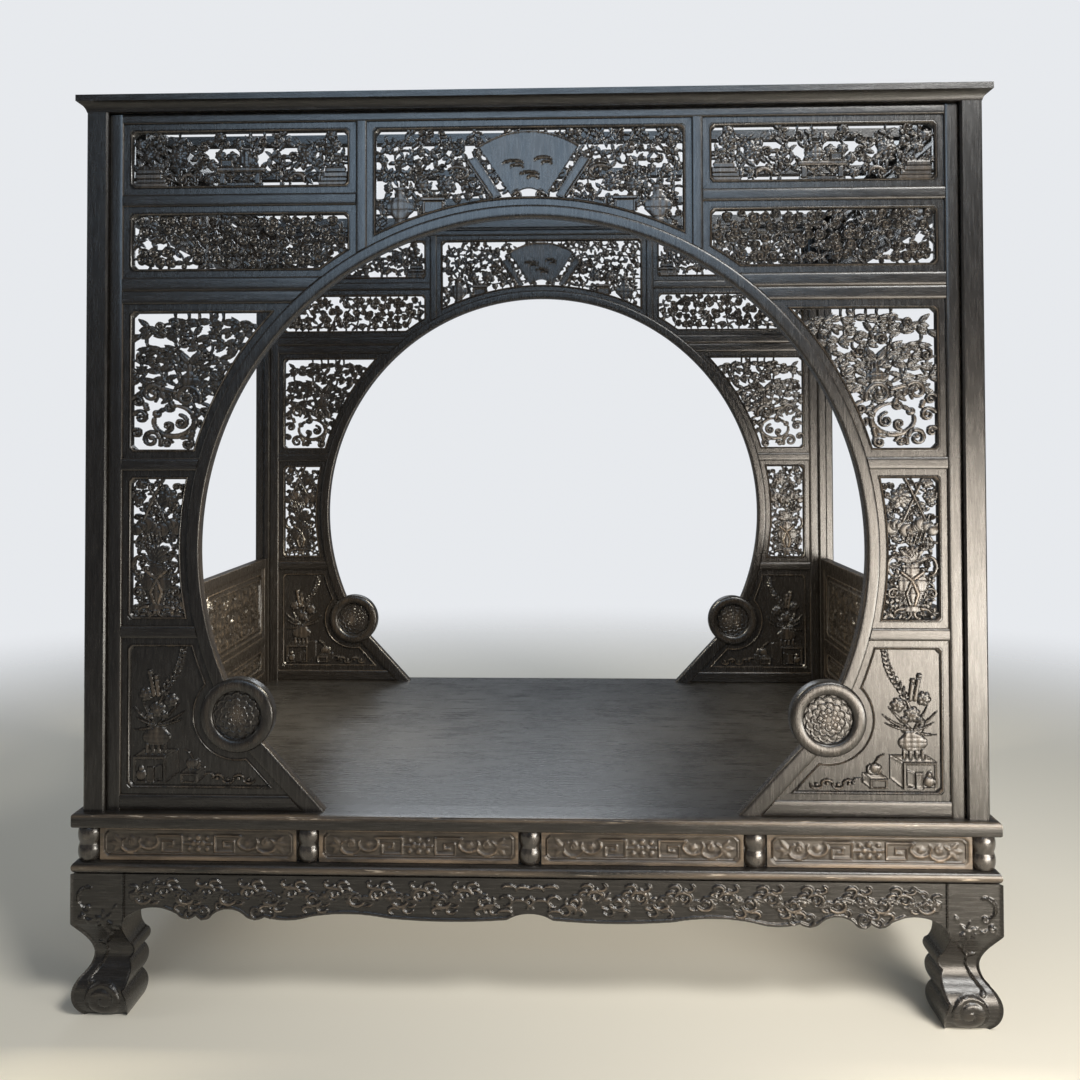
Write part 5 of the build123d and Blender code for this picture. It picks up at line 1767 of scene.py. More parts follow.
    def carve_tall(self, canvas: Canvas, inside: Distance) -> None:
        """A draped vase on scroll feet under a palmette, with a lotus leaf and flowers above.

        Args:
            canvas: The canvas.
            inside: Distance to the opening's border.
        """
        low = self.tall_low + self.sizes.margin
        middle = self.field_outer - self.sizes.margin - 62.0
        canvas.foliage(inside, 71, 22.0,
                       {Ornament.LEAVES: 0.3, Ornament.FLOWER: 0.12, Ornament.CURL: 0.58}, 1.05)
        for side in SIDES:
            canvas.arc((middle + side * 24, low + 12), (20, 12), 90 - side * 90, side * 250, 4.6)
            canvas.arc((middle + side * 44, low + 126), (14, 22), 90 + side * 60, -side * 250, 3.8)
            canvas.curl((middle + side * 46.0, low + 60), 14.0, 1.57 + side * 0.6, -side, 3.4)
        canvas.vase((middle, low + 18), 122.0, (20, 15, 17, 24, 31, 35, 35, 29, 17, 14, 19))
        for side in SIDES:
            drape = ((-26, 112), (0, 92), (14, 60), (6, 34))
            canvas.stroke([(middle + side * x, low + z) for x, z in drape], 3.4, 0.9, 0.3)
        for bearing in np.radians([28, 55, 75, 90, 105, 125, 152]):
            canvas.leaf((middle, low + 134), float(bearing), 44.0, 7.5, 0.5 * (bearing - 1.57))
        for number in range(9):
            place = np.array([middle - 50 + 12.5 * number, low + 220 + 9 * math.sin(number * 1.3)])
            canvas.bud(place, 15.0 + 3.0 * math.cos(number * 2.1))
        for number in range(5):
            x = middle - 14 + 10.0 * number
            canvas.stroke([(x, low + 184), (x + 7.0, low + 184 + 22.0)], 2.6, 0.5, 0.35)
        canvas.stroke([(middle - 20, low + 236), (middle + 30, low + 342)], 3.4, 0.5, 0.4)
        canvas.stroke([(middle + 34, low + 236), (middle - 16, low + 342)], 3.0, 0.5, 0.4)
        canvas.rosette((middle - 26.0, low + 292), 26.0, 7, 0.3)
        canvas.rosette((middle + 46.0, low + 290), 15.0, 6)
        canvas.rosette((middle + 38.0, low + 328), 15.0, 6)

    def carve_relief(self, canvas: Canvas) -> None:
        """A ribbed pot of flowers and scrolls on an open box, a fruit on a small stand, and a vine.

        Args:
            canvas: The canvas.
        """
        low = self.relief_low + self.sizes.margin
        far = self.field_outer - self.sizes.margin

        def at(*places: Point) -> list[Point]:
            """Places given from the opening's lower outer corner."""
            return [(far + x, low + z) for x, z in places]

        canvas.facet(at((-88, 69), (-7, 69), (-36, 88), (-121, 88)), 0.55)
        canvas.facet(at((-121, 32), (-88, 5), (-88, 69), (-121, 88)), 0.42)
        canvas.facet(at((-88, 5), (-7, 5), (-7, 69), (-88, 69)), 0.72)
        canvas.carve_away(at((-82, 10), (-14, 10), (-14, 63), (-82, 63)), 0.22)
        canvas.facet(at((-80, 14), (-60, 8), (-60, 44), (-80, 52)), 0.4)
        canvas.facet(at((-60, 8), (-42, 8), (-42, 44), (-60, 44)), 0.62)
        canvas.bud((far - 27.0, low + 24.0), 13.0)
        canvas.bud((far - 27.0, low + 40.0), 6.5)
        canvas.facet(at((-167, 28), (-124, 28), (-143, 45), (-186, 45)), 0.5)
        canvas.facet(at((-186, 22), (-167, 6), (-167, 28), (-186, 45)), 0.4)
        canvas.facet(at((-167, 6), (-124, 6), (-124, 28), (-167, 28)), 0.68)
        canvas.carve_away(at((-161, 10), (-130, 10), (-130, 24), (-161, 24)), 0.25)
        for place, radius in (((-164, 52), 12.5), ((-151, 52), 12.5), ((-157, 55), 12.0)):
            canvas.bud(np.array([far + place[0], low + place[1]]), radius)
        canvas.stroke(at((-156, 66), (-148, 80), (-134, 88)), 2.0, 0.5, 0.4)
        for number in range(4):
            canvas.stroke(at((-85 + 14 * number, 103), (-87 + 15 * number, 80)), 4.0, 0.5, 0.35)
        canvas.vase((far - 65.0, low + 98), 48.0, (18, 29, 34, 35, 31, 23, 19, 27))
        origin = np.array([far - 64.0, low + 146])
        for tip, bend in (((-138, 188), 0.5), ((-131, 166), 0.5), ((-122, 204), 0.25), ((-7, 195), -0.4),
                          ((-4, 140), -0.7), ((-14, 168), -0.5), ((-30, 206), -0.2)):
            run = np.array([far + tip[0], low + tip[1]]) - origin
            canvas.leaf(origin, math.atan2(run[1], run[0]) + bend / 2, float(np.hypot(*run)), 2.5, -bend)
        for place, radius, petals in (((-100, 206), 18.0, 6), ((-38, 221), 18.0, 6), ((-66, 184), 20.0, 8),
                                      ((-84, 170), 10.0, 5), ((-46, 168), 10.0, 5)):
            canvas.rosette(np.array([far + place[0], low + place[1]]), radius, petals, radius)
        for foot, head in (((-70, 220), (-64, 264)), ((-59, 220), (-48, 276))):
            canvas.stroke(at(foot, head), 5.4, 0.55, 0.4)
            canvas.bud(at(head)[0], 6.4)
        branch = np.array(at((-72, 200), (-88, 236), (-110, 268), (-122, 296), (-126, 324)))
        canvas.stroke(branch, (3.2, 2.8, 2.4, 2.0, 1.4), 0.45, 0.4)
        share = np.linspace(0.14, 1.0, 10)
        places = np.stack([np.interp(share * 4, np.arange(5), branch[:, 0]),
                           np.interp(share * 4, np.arange(5), branch[:, 1])], 1)
        for number, place in enumerate(places):
            for side in SIDES:
                canvas.leaf(place, 2.0 + side * (0.85 - 0.03 * number), 17.0, 3.3, -0.6 * side)
        for number in range(4):
            side = 1 if number % 2 else -1
            place = (far - 296 + 26.0 * number, low + 16)
            canvas.arc(place, (14, 10), 180, -180 * side, 3.0)
            canvas.bud(np.array([place[0] + 1, place[1] + side]), 4.6)
        canvas.arc((far - 196, low + 20), (13, 10), 200, -170, 2.8)

    def panels(self, pitch: float) -> dict[str, Solids]:
        """Every panel by the name of the CAD node that it stands for.

        Args:
            pitch: Grid spacing of the carving.

        Returns:
            The panels.
        """
        fields = self.fields()
        margin = self.sizes.margin
        carvers = {"antiques": self.carve_antiques, "cloud": self.carve_cloud, "fan": self.carve_fan,
                   "spandrel": self.carve_spandrel, "tall": self.carve_tall}
        made = {}
        for name, carve in carvers.items():
            field = fields[name]
            canvas = canvas_over(field, margin, pitch)
            carve(canvas, lambda x, z, field=field: field.distance(x, z, margin))
            label = "fan_panel" if name == "fan" else f"{name}_panels"
            made[label] = self.panel(field, canvas, True, name != "fan")
        canvas = canvas_over(fields["relief"], margin, pitch)
        self.carve_relief(canvas)
        made["relief_panels"] = self.panel(fields["relief"], canvas, False, True)
        return made

    def build(self) -> None:
        """Makes both gates; the back one mirrors the front one and is carved a little more broadly."""
        members = self.members()
        roundels = self.roundels()
        for face in Face:
            parts = {name: (solids, self.level if name in self.LEVEL else self.material, "frame_wood")
                     for name, solids in members.items()}
            parts["roundels"] = (roundels, self.carved, "frame_wood")
            for name, solids in self.panels(self.sizes.pitches[face]).items():
                parts[name] = (solids, self.carved, "carved_wood")
            for name, (solids, material, slot) in parts.items():
                placed = Solids().add_copy(solids, (1, -face.value, 1))
                label = face.name.lower()
                settle(placed.build(f"{label}_{name}_looks", material), slot, f"{label}_{name}")


# ================================================================ ends
@dataclass(frozen=True)
class EndSizes:
    """Sizes of the low railings and the friezes at the ends, in millimetres."""

    reach: float = 690.5
    stile: float = 30.0
    half_middle: float = 15.0
    half_thickness: float = 17.0
    panel_half: float = 10.0
    margin: float = 23.0
    corner_cut: float = 16.0
    railing: tuple[float, ...] = (493.0, 529.0, 631.0, 664.0, 921.0, 956.0)
    frieze: tuple[float, ...] = (1979.5, 2009.5, 2186.0, 2208.0)
    pitch: float = 4.0
    ground_half: float = 5.0
    rise: float = 7.0
    thread_inset: float = 14.0


class EndWalls:
    """The railing and the frieze at each end, worked out facing the front and turned to the ends."""

    def __init__(self, sizes: EndSizes, material: object, carved: object) -> None:
        """Takes the ends' middle plane from the frame.

        Args:
            sizes: Their sizes.
            material: Finish of the members.
            carved: Finish of the panels.
        """
        self.sizes = sizes
        self.material = material
        self.carved = carved
        self.mid = -(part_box("railing_rails")[1].x / MM - sizes.half_thickness)

    def bars(self, boxes: Sequence[tuple[float, float, float, float]], upright: bool) -> Solids:
        """Straight members.

        Args:
            boxes: Near side, far side, low and high of each.
            upright: Whether they run up.

        Returns:
            The solids.
        """
        solids = Solids()
        for near, far, low, high in boxes:
            bar = straight_bar((near, low), (far, high), upright, self.mid, self.sizes.half_thickness)
            solids.add_copy(bar)
        return solids

    def members(self) -> dict[str, Solids]:
        """The members of one end by the name of the CAD node that they stand for."""
        s = self.sizes
        field = s.reach - s.stile
        rail, frieze = s.railing, s.frieze
        stiles = [(side * s.reach if side < 0 else field, -field if side < 0 else s.reach, low, high)
                  for side in SIDES for low, high in ((rail[0], rail[5]), (frieze[0], frieze[3]))]
        middles = [(-s.half_middle, s.half_middle, low, high)
                   for low, high in ((rail[1], rail[2]), (rail[3], rail[4]), (frieze[1], frieze[2]))]
        return {
            "end_stiles": self.bars(stiles, True),
            "end_middle_stiles": self.bars(middles, True),
            "railing_rails": self.bars([(-field, field, rail[n], rail[n + 1]) for n in (0, 2, 4)], False),
            "frieze_rails": self.bars([(-field, field, frieze[n], frieze[n + 1]) for n in (0, 2)], False),
        }

    def panel(self, low: float, high: float, spacing: float, seed: int, shares: dict[Ornament, float],
              pierced: bool) -> Solids:
        """A pair of carved panels on both sides of the middle stile.

        Args:
            low: Lower side of the field.
            high: Upper side.
            spacing: Distance between ornaments.
            seed: Seed of the foliage.
            shares: Mix of ornaments.
            pierced: Whether the ground is cut away.

        Returns:
            The solids.
        """
        s = self.sizes
        near, far = s.half_middle, s.reach - s.stile
        field = box_field(near, far, low, high, s.corner_cut, s.margin)
        canvas = canvas_over(field, s.margin, s.pitch)
        inset = s.margin if pierced else s.margin + s.thread_inset
        canvas.foliage(lambda x, z: field.distance(x, z, inset), seed, spacing, shares)
        if not pierced:
            canvas.frame((near + inset, low + inset), (far - inset, high - inset), s.corner_cut, 2.2)
        return framed_panel(field, canvas, pierced, self.mid, s.panel_half, s.margin, s.ground_half,
                            s.rise).on_both_sides()

    def build(self) -> None:
        """Makes the members and panels of both ends."""
        s = self.sizes
        leafy = {Ornament.LEAVES: 0.5, Ornament.FLOWER: 0.3, Ornament.CURL: 0.2}
        scrolls = {Ornament.CURL: 0.6, Ornament.LEAVES: 0.4}
        parts = {name: (solids, self.material, "frame_wood") for name, solids in self.members().items()}
        for name, low, high, spacing, seed, shares, pierced in (
                ("railing_upper_panels", s.railing[3], s.railing[4], 40.0, 5, leafy, False),
                ("railing_lower_panels", s.railing[1], s.railing[2], 30.0, 6, scrolls, False),
                ("frieze_panels", s.frieze[1], s.frieze[2], 30.0, 7, leafy, True)):
            panel = self.panel(low, high, spacing, seed, shares, pierced)
            parts[name] = (panel, self.carved, "carved_wood")
        for name, (solids, material, slot) in parts.items():
            ends = Solids().add_copy(solids, TO_RIGHT_END).on_both_sides()
            settle(ends.build(f"{name}_looks", material), slot, name)


# ================================================================ base
@dataclass(frozen=True)
class BaseSizes:
    """Sizes of the bed frame, the waist, the aprons and the legs, in millimetres."""

    half_length: float = 1113.0
    half_depth: float = 763.0
    frame_low: float = 459.0
    frame_high: float = 493.0
    frame_width: float = 100.0
    rebate: float = 88.0
    rebate_depth: float = 16.4
    easing: float = 6.0
    waist_low: float = 377.0
    torus_low: float = 349.0
    torus_width: float = 70.0
    panel_setback: float = 19.0
    panel_length: float = 482.5
    end_panel_length: float = 428.67
    panel_height: float = 80.0
    column_radius: float = 30.0
    column_neck: float = 24.0
    column_setback: float = 40.0
    corner_setback: float = 35.0
    column_pitch: float = 538.5
    end_column: float = 242.33
    leg_width: float = 131.0
    apron_thickness: float = 28.0
    apron_low: float = 238.0
    ground: float = 4.6
    pitch: float = 1.95
    hidden_pitch: float = 3.1
    panel_pitch: float = 2.7


class BedBase:
    """The base: frame and torus mouldings, waist panels and columns, carved aprons and legs."""

    inner_edge = (((131.0, 240.0), (124.0, 207.0), (133.0, 171.0)),
                  ((133.0, 171.0), (142.0, 150.0), (130.0, 130.0)),
                  ((130.0, 130.0), (139.0, 102.0), (127.0, 67.0)),
                  ((127.0, 67.0), (138.0, 34.0), (130.0, 0.0)))

    def __init__(self, sizes: BaseSizes, material: object, carved: object, turned: object) -> None:
        """Sets up the base.

        Args:
            sizes: Its sizes.
            material: Finish of the mouldings, aprons and legs.
            carved: Finish of the waist panels.
            turned: Finish of the columns.
        """
        self.sizes = sizes
        self.material = material
        self.carved = carved
        self.turned = turned

    def mouldings(self) -> dict[tuple[str, ...], Solids]:
        """The bed frame and the torus, by the CAD nodes that they stand for."""
        s = self.sizes
        swell = np.radians(np.linspace(-90, 90, 13))
        mid, half = (s.torus_low + s.waist_low) / 2, (s.waist_low - s.torus_low) / 2
        torus = [(half * 0.9 * (1 - math.cos(a)), mid + half * math.sin(a), 0.2 + 0.8 * math.cos(a) ** 3)
                 for a in swell]
        torus += [(s.torus_width, s.waist_low, 0.0), (s.torus_width, s.torus_low, 0.0)]
        ease = np.radians(np.linspace(0, 90, 5))
        round_off = s.easing
        nose = [(round_off * (1 - math.sin(a)), s.frame_low + round_off * (1 - math.cos(a)), 0.5)
                for a in ease]
        nose += [(0.0, (s.frame_low + s.frame_high) / 2, 0.15)]
        nose += [(round_off * (1 - math.cos(a)), s.frame_high - round_off * (1 - math.sin(a)), 1.0)
                 for a in ease]
        ledge = s.frame_high - s.rebate_depth
        nose += [(26.0, s.frame_high, 0.15), (s.rebate, s.frame_high, 0.1), (s.rebate, ledge, 0.0),
                 (s.frame_width, ledge, 0.0), (s.frame_width, s.frame_low, 0.0)]
        return {("bed_frame_long_rails", "bed_frame_short_rails"):
                mitred_loop(nose, s.half_length, s.half_depth),
                ("torus_long_rails", "torus_short_rails"): mitred_loop(torus, s.half_length, s.half_depth)}

    def columns(self) -> Solids:
        """Turned waist columns with two swellings, a ring between them and a fillet at each end.

        The radius is the neck's plus a rounded sine of the height, and the solid is that profile
        turned about the column's axis.
        """
        s = self.sizes
        share = (1 - np.cos(np.linspace(0, np.pi, 31))) / 2
        bulge = np.abs(np.sin(2 * np.pi * share)) ** 0.55
        ring = np.exp(-(((share - 0.5) / 0.022) ** 2)) * 0.35
        radius = s.column_neck + (s.column_radius - s.column_neck) * np.minimum(bulge + ring, 1.0)
        angle = np.linspace(0, 2 * np.pi, 49)[:-1]
        height = s.waist_low + (s.frame_low - s.waist_low) * share
        turned = np.stack([radius[:, None] * np.cos(angle), radius[:, None] * np.sin(angle),
                           np.broadcast_to(height[:, None], (len(share), len(angle)))], -1)
        proud = np.broadcast_to(0.75 * bulge[:, None] ** 2, turned.shape[:2])
        near, end = s.half_depth - s.column_setback, s.half_length - s.column_setback
        corner = (s.half_length - s.corner_setback, s.half_depth - s.corner_setback)
        places = [(x, y * near) for x in (-s.column_pitch, 0.0, s.column_pitch) for y in SIDES]
        places += [(x * end, y) for y in (-s.end_column, s.end_column) for x in SIDES]
        places += [(x * corner[0], y * corner[1]) for x in SIDES for y in SIDES]
        solids = Solids()
        for x, y in places:
            solids.add_loft(turned + np.array([x, y, 0.0]), proud)
        return solids

    def waist_panel(self, length: float, face: float) -> Solids:
        """A waist panel: key frets and leaf scrolls inside a thread with cut corners.

        Args:
            length: Its length.
            face: Y of its face.

        Returns:
            The solid, round X 0.
        """
        s = self.sizes
        mid = (s.waist_low + s.frame_low) / 2
        low, high = mid - s.panel_height / 2, mid + s.panel_height / 2
        canvas = Canvas((-length / 2, low), (length / 2, high), s.panel_pitch)
        canvas.height[:] = 0.95
        field = box_field(-length / 2, length / 2, low, high, 9.0, 9.0)
        across, up = np.meshgrid(canvas.across, canvas.up)
        canvas.height = np.where(field.distance(across, up, 9.0) < 0, 0.1, canvas.height)
        canvas.frame((-length / 2 + 13, low + 13), (length / 2 - 13, high - 13), 9.0, 1.8)
        unit = length / 482.5
        for side in SIDES:
            fret = [(104, 19), (40, 19), (40, -19), (88, -19), (88, 6), (62, 6), (62, -7), (75, -7)]
            path = np.array([(side * x * unit, mid + z) for x, z in fret])
            for first, last in zip(path, path[1:]):
                canvas.stroke((first, last), 2.5, 0.6, 0.35)
            canvas.arc((side * 122 * unit, mid + 4), (24, 17), 90 - side * 60, -side * 260, 4.0)
            canvas.rosette((side * 122 * unit, mid + 2), 10.0, 5)
            canvas.arc((side * 166 * unit, mid - 4), (24, 17), 90 + side * 80, side * 250, 4.0)
            canvas.curl((side * 166 * unit, mid + 3), 11.0, 1.57, side, 3.0)
            for turn in (0.75, 0.0, -0.75):
                canvas.leaf((side * 190 * unit, mid), (0 if side > 0 else math.pi) + turn, 30.0, 5.0,
                            0.4 * turn)
            canvas.stroke([(side * 8, mid), (side * 34 * unit, mid)], 2.4, 0.6, 0.35)
            canvas.bud((side * 22 * unit, mid + 12), 5.0)
            canvas.bud((side * 22 * unit, mid - 13), 6.0)
        for place in ((0, 14), (0, -14), (11, 0), (-11, 0)):
            canvas.bud(np.array([place[0], mid + place[1]]), 7.0)
        canvas.bud((0.0, mid), 5.0)
        across = np.linspace(-length / 2, length / 2, int(length / s.panel_pitch))
        return carved_plate(canvas, across, np.full(len(across), low), high, face, 4.0, face + 10.0)

    def waist_panels(self) -> Solids:
        """The waist panels of all four sides."""
        s = self.sizes
        front = self.waist_panel(s.panel_length, -(s.half_depth - s.panel_setback))
        end = self.waist_panel(s.end_panel_length, -(s.half_length - s.panel_setback))
        row, end_row = Solids(), Solids()
        for number in (-0.5, 0.5, -1.5, 1.5):
            row.add_copy(front, shift=(number * s.column_pitch, 0.0, 0.0))
        for number in (-1, 0, 1):
            end_row.add_copy(end, shift=(number * 2 * s.end_column, 0.0, 0.0))
        solids = Solids().add_copy(end_row, TO_RIGHT_END).on_both_sides()
        for sign in SIDES:
            solids.add_copy(row, (1, sign, 1))
        return solids

    def apron_edge(self, half_span: float, long_wave: bool) -> Array:
        """The lower edge of an apron from its middle to the leg.

        Args:
            half_span: Half of its length.
            long_wave: Whether it has the long wave of the front.

        Returns:
            Points, one row each, outwards.
        """
        by_leg = [(0, 244.0), (72, 270.0), (129, 255.0), (155, 243.0), (175, 252.0), (200, 242.0),
                  (215, 254.0), (238, 266.0), (300, 248.0), (320, 243.0), (342, 250.0), (395, 243.0),
                  (451, 252.0)]
        wave = [(0.16, 260.0), (0.40, 251.0), (0.72, 245.0), (1.0, 251.0)] if long_wave \
            else [(0.5, 247.0), (1.0, 251.0)]
        start = half_span - 451.0
        edge = [(half_span - x, z) for x, z in by_leg]
        edge += [(start - share * (start - 55.0), z) for share, z in wave] + [(30.0, 262.0), (0.0, 266.0)]
        arcs = [arc_through(*edge[n:n + 3]) for n in range(0, len(edge) - 2, 2)]
        return np.concatenate(arcs)[::-1]

    def apron(self, half_span: float, long_wave: bool, face: float, seed: int, pitch: float) -> Solids:
        """A carved apron that faces the front.

        Args:
            half_span: Half of its length.
            long_wave: Whether it has the long wave of the front.
            face: Y of its face.
            seed: Seed of its sprays.
            pitch: Spacing of its grid.

        Returns:
            The solid.
        """
        s = self.sizes
        edge = self.apron_edge(half_span, long_wave)
        across = np.linspace(-half_span, half_span, int(2 * half_span / pitch))
        low = np.interp(np.abs(across), edge[:, 0], edge[:, 1])
        canvas = Canvas((-half_span, s.apron_low), (half_span, s.torus_low), pitch)
        right = Canvas((0.0, s.apron_low), (half_span, s.torus_low), pitch)
        self.carve_apron(right, edge, half_span, seed)
        canvas.height = right.sample(*np.meshgrid(np.abs(canvas.across), canvas.up))
        return carved_plate(canvas, across, low, s.torus_low, face, s.ground, face + s.apron_thickness)

    def carve_apron(self, canvas: Canvas, edge: Array, half_span: float, seed: int) -> None:
        """A bead along the edge with curls at its cusps, and sprays of leaves on a winding vine.

        Args:
            canvas: The canvas of the right-hand half.
            edge: The lower edge.
            half_span: Half of the apron's length.
            seed: Seed of the sprays.
        """
        draw = np.random.default_rng(seed)
        inner = edge[(edge[:, 0] > 40) & (edge[:, 0] < half_span - 96)]
        canvas.stroke(inner[::3] + np.array([0.0, 4.5]), 3.4, 0.3, 0.25)
        for place, radius, hand in ((158, 12, 1), (192, 20, -1), (232, 12, 1), (322, 18, 1), (358, 15, -1)):
            x = half_span - place
            z = float(np.interp(x, edge[:, 0], edge[:, 1]))
            canvas.curl((x, z + radius + 2.0), radius, -1.4, hand, 3.0, 0.95)
        canvas.curl((half_span - 53.0, 318.0), 12.0, 2.4, -1, 3.2, 0.8)
        canvas.stroke([(half_span - 84, 333.0), (half_span - 70, 334.0), (half_span - 62, 328.0)], 2.6)
        joint = None
        for number, x in enumerate(np.arange(104.0, half_span - 16.0, 52.0)):
            side = 1 if number % 2 else -1
            floor = float(np.interp(x, edge[:, 0], edge[:, 1])) + 14
            z = 301 + side * 6.0
            canvas.arc((x, z), (19.0, 15.0), -90.0 * side, 300.0 * side, 4.4)
            canvas.arc((x + 2.0, z), (8.0, 6.5), 140.0 * side, 250.0 * side, 3.6)
            start = np.array([x, z - side * 15.0])
            if joint is not None:
                canvas.stem(joint, start, 0.16 * side, 3.2)
            joint = start
            for shift, lift, start_angle in ((27, -19, 70.0), (-20, 22, -60.0), (14, 25, 200.0)):
                place = (x + shift, z + side * lift)
                if floor < place[1] < 336:
                    canvas.arc(place, (12.0, 8.0), start_angle * side, 230.0 * side, 3.8)
            for turn in draw.uniform(0, 2 * np.pi, 2):
                canvas.leaf((x + 25, z - side * 4), float(turn), draw.uniform(16, 22), 4.0,
                            draw.uniform(-1.0, 1.0))
            if number % 3 == 1:
                canvas.rosette((x + 25, z - side * 4), 11.0, 5, float(draw.uniform(0, 6)))
        for centre, radii, start, sweep in (
                ((26, 285), (22, 15), 210, -240), ((58, 296), (15, 12), 20, 260),
                ((16, 322), (17, 8), 180, -190), ((50, 326), (16, 7), 170, -170),
                ((92, 276), (18, 12), 160, -210), ((60, 268), (16, 7), 200, -200)):
            canvas.arc(centre, radii, start, sweep, 4.0)
        canvas.stroke([(0.0, 306.0), (10.0, 298.0), (0.0, 286.0)], 3.6, 0.55, 0.4)

    def leg_outer(self, z: Array) -> Array:
        """Distance of the leg's outer faces in from the corner.

        Args:
            z: Heights.

        Returns:
            Distances.
        """
        shoulder, waist, foot, lower = 230.0, (42.0, 145.0), (2.0, 57.0), (22.0, 101.0)
        drop = 26.0
        share = np.clip((shoulder - z) / (shoulder - waist[1]), 0.0, 1.0)
        inset = waist[0] * (1 - (1 - share) ** 1.7) ** 1.2
        for top, end, side in ((waist, lower, -1), (foot, lower, 1)):
            rise = abs(end[1] - top[1])
            run = abs(end[0] - top[0])
            radius = (rise**2 + run**2) / (2 * run)
            held = (z <= max(top[1], end[1])) & (z >= min(top[1], end[1]))
            gap = np.clip(np.abs(z - top[1]), 0, radius)
            inset = np.where(held, top[0] + side * (radius - np.sqrt(radius**2 - gap**2)), inset)
        run = drop - foot[0]
        radius = (foot[1] ** 2 + run**2) / (2 * run)
        sole = foot[0] + radius - np.sqrt(radius**2 - (foot[1] - z) ** 2)
        return np.where(z < foot[1], sole, inset)

    def legs(self, front: bool) -> Solids:
        """A pair of cabriole legs: square sections whose outer and inner faces both wind.

        Args:
            front: Whether the pair is the front one.

        Returns:
            The solids.
        """
        s = self.sizes
        z = np.linspace(0.0, s.torus_low, 128)
        outer = self.leg_outer(z)
        arcs = np.concatenate([arc_through(*arc, steps=30) for arc in self.inner_edge])
        order = np.argsort(arcs[:, 1])
        inner = np.interp(z, arcs[order, 1], arcs[order, 0])
        canvas = Canvas((-4.0, -4.0), (s.leg_width + 12.0, s.torus_low + 4.0), 2.0)
        self.carve_leg(canvas)
        share = np.linspace(0.0, 1.0, 54)
        place = outer[:, None] + share[None, :] * (inner - outer)[:, None]
        height = canvas.sample(place, np.broadcast_to(z[:, None], place.shape))
        sunk = s.ground * 1.15 * (1 - height) * np.clip(np.minimum(share, 1 - share) * 20, 0, 1)
        face = outer[:, None] + sunk
        level = np.broadcast_to(z[:, None], place.shape)
        front_face = np.stack([place, face, level], -1)[:, ::-1]
        end_face = np.stack([face, place, level], -1)[:, 1:]
        back = np.stack([np.stack([inner, inner, z], -1)], 1)
        rings = np.concatenate([front_face, end_face, back], 1)
        proud = np.concatenate([height[:, ::-1], height[:, 1:], np.zeros((len(z), 1))], 1)
        edges = np.exp(-np.minimum(share, 1 - share) * 30)
        proud = proud * 0.6 + 0.5 * np.concatenate([edges[::-1], edges[1:], [0.0]])[None, :]
        rings = rings - np.array([s.half_length, s.half_depth, 0.0])
        pair = Solids().add_loft(rings, np.clip(proud, 0, 1)).on_both_sides()
        return Solids().add_copy(pair, (1, 1 if front else -1, 1))

    def carve_leg(self, canvas: Canvas) -> None:
        """A scroll under the shoulder, a flower on a stem that curls over the ankle, and the volute.

        Args:
            canvas: The canvas, with distances in from the outer corner.
        """
        canvas.arc((42, 291), (25, 25), 70, 185, 3.4)
        canvas.curl((41.0, 268.0), 9.0, 3.6, 1, 3.4, 1.0)
        canvas.curl((24.0, 244.0), 9.0, 1.4, -1, 3.0, 1.2)
        for turn in np.arange(6):
            canvas.leaf((80.0, 238.0), 0.5 + 1.05 * turn, 25.0, 4.2, 0.5)
        canvas.rosette((80.0, 238.0), 10.0, 6)
        for x, z, bearing in ((52, 240, 3.6), (46, 232, 2.2), (104, 262, 0.8), (100, 216, -0.6)):
            canvas.leaf((float(x), float(z)), bearing, 16.0, 3.2, 0.6)
        stem = ((80, 222), (86, 200), (84, 184), (72, 166), (74, 146), (64, 122), (48, 100), (40, 90))
        canvas.stroke(stem, 2.2, 0.55, 0.45)
        canvas.leaf((72.0, 166.0), 2.6, 24.0, 3.6, 0.7)
        canvas.leaf((84.0, 186.0), 0.6, 16.0, 3.2, 0.7)
        canvas.curl((46.0, 88.0), 6.5, 2.6, 1, 2.4, 0.9)
        radius, winds, eye = 42.0, 1.75, 8.0
        part, gap, angle = canvas.round_window((76.0, 42.0), 48.0)
        ridge = np.abs(np.sin(np.pi * (gap / radius * winds - angle / (2 * np.pi)))) ** 0.5
        canvas.stamp(part, gap - radius - 1.0, np.where(gap < eye, 1.0, 0.02 + 0.98 * ridge))

    def build(self) -> None:
        """Makes the base's pieces."""
        s = self.sizes
        for nodes, solids in self.mouldings().items():
            label = nodes[0].replace("_long_rails", "")
            settle(solids.build(f"{label}_looks", self.material), "base_wood", *nodes)
        settle(self.columns().build("waist_columns_looks", self.turned), "base_wood", "waist_columns")
        settle(self.waist_panels().build("waist_panels_looks", self.carved), "base_wood", "waist_panels")
        end = self.apron(s.half_depth - s.leg_width, False, -s.half_length, 4, s.hidden_pitch)
        for name, sign, pitch in (("front_apron", 1, s.pitch), ("back_apron", -1, s.hidden_pitch)):
            front = self.apron(s.half_length - s.leg_width, True, -s.half_depth, 3, pitch)
            placed = Solids().add_copy(front, (1, sign, 1))
            settle(placed.build(f"{name}_looks", self.material), "base_wood", name)
        for name, sign in (("right_apron", 1), ("left_apron", -1)):
            placed = Solids().add_copy(end, np.diag((sign, 1, 1)) @ TO_RIGHT_END)
            settle(placed.build(f"{name}_looks", self.material), "base_wood", name)
        for name, at_front in (("front_legs", True), ("back_legs", False)):
            settle(self.legs(at_front).build(f"{name}_looks", self.material), "base_wood", name)


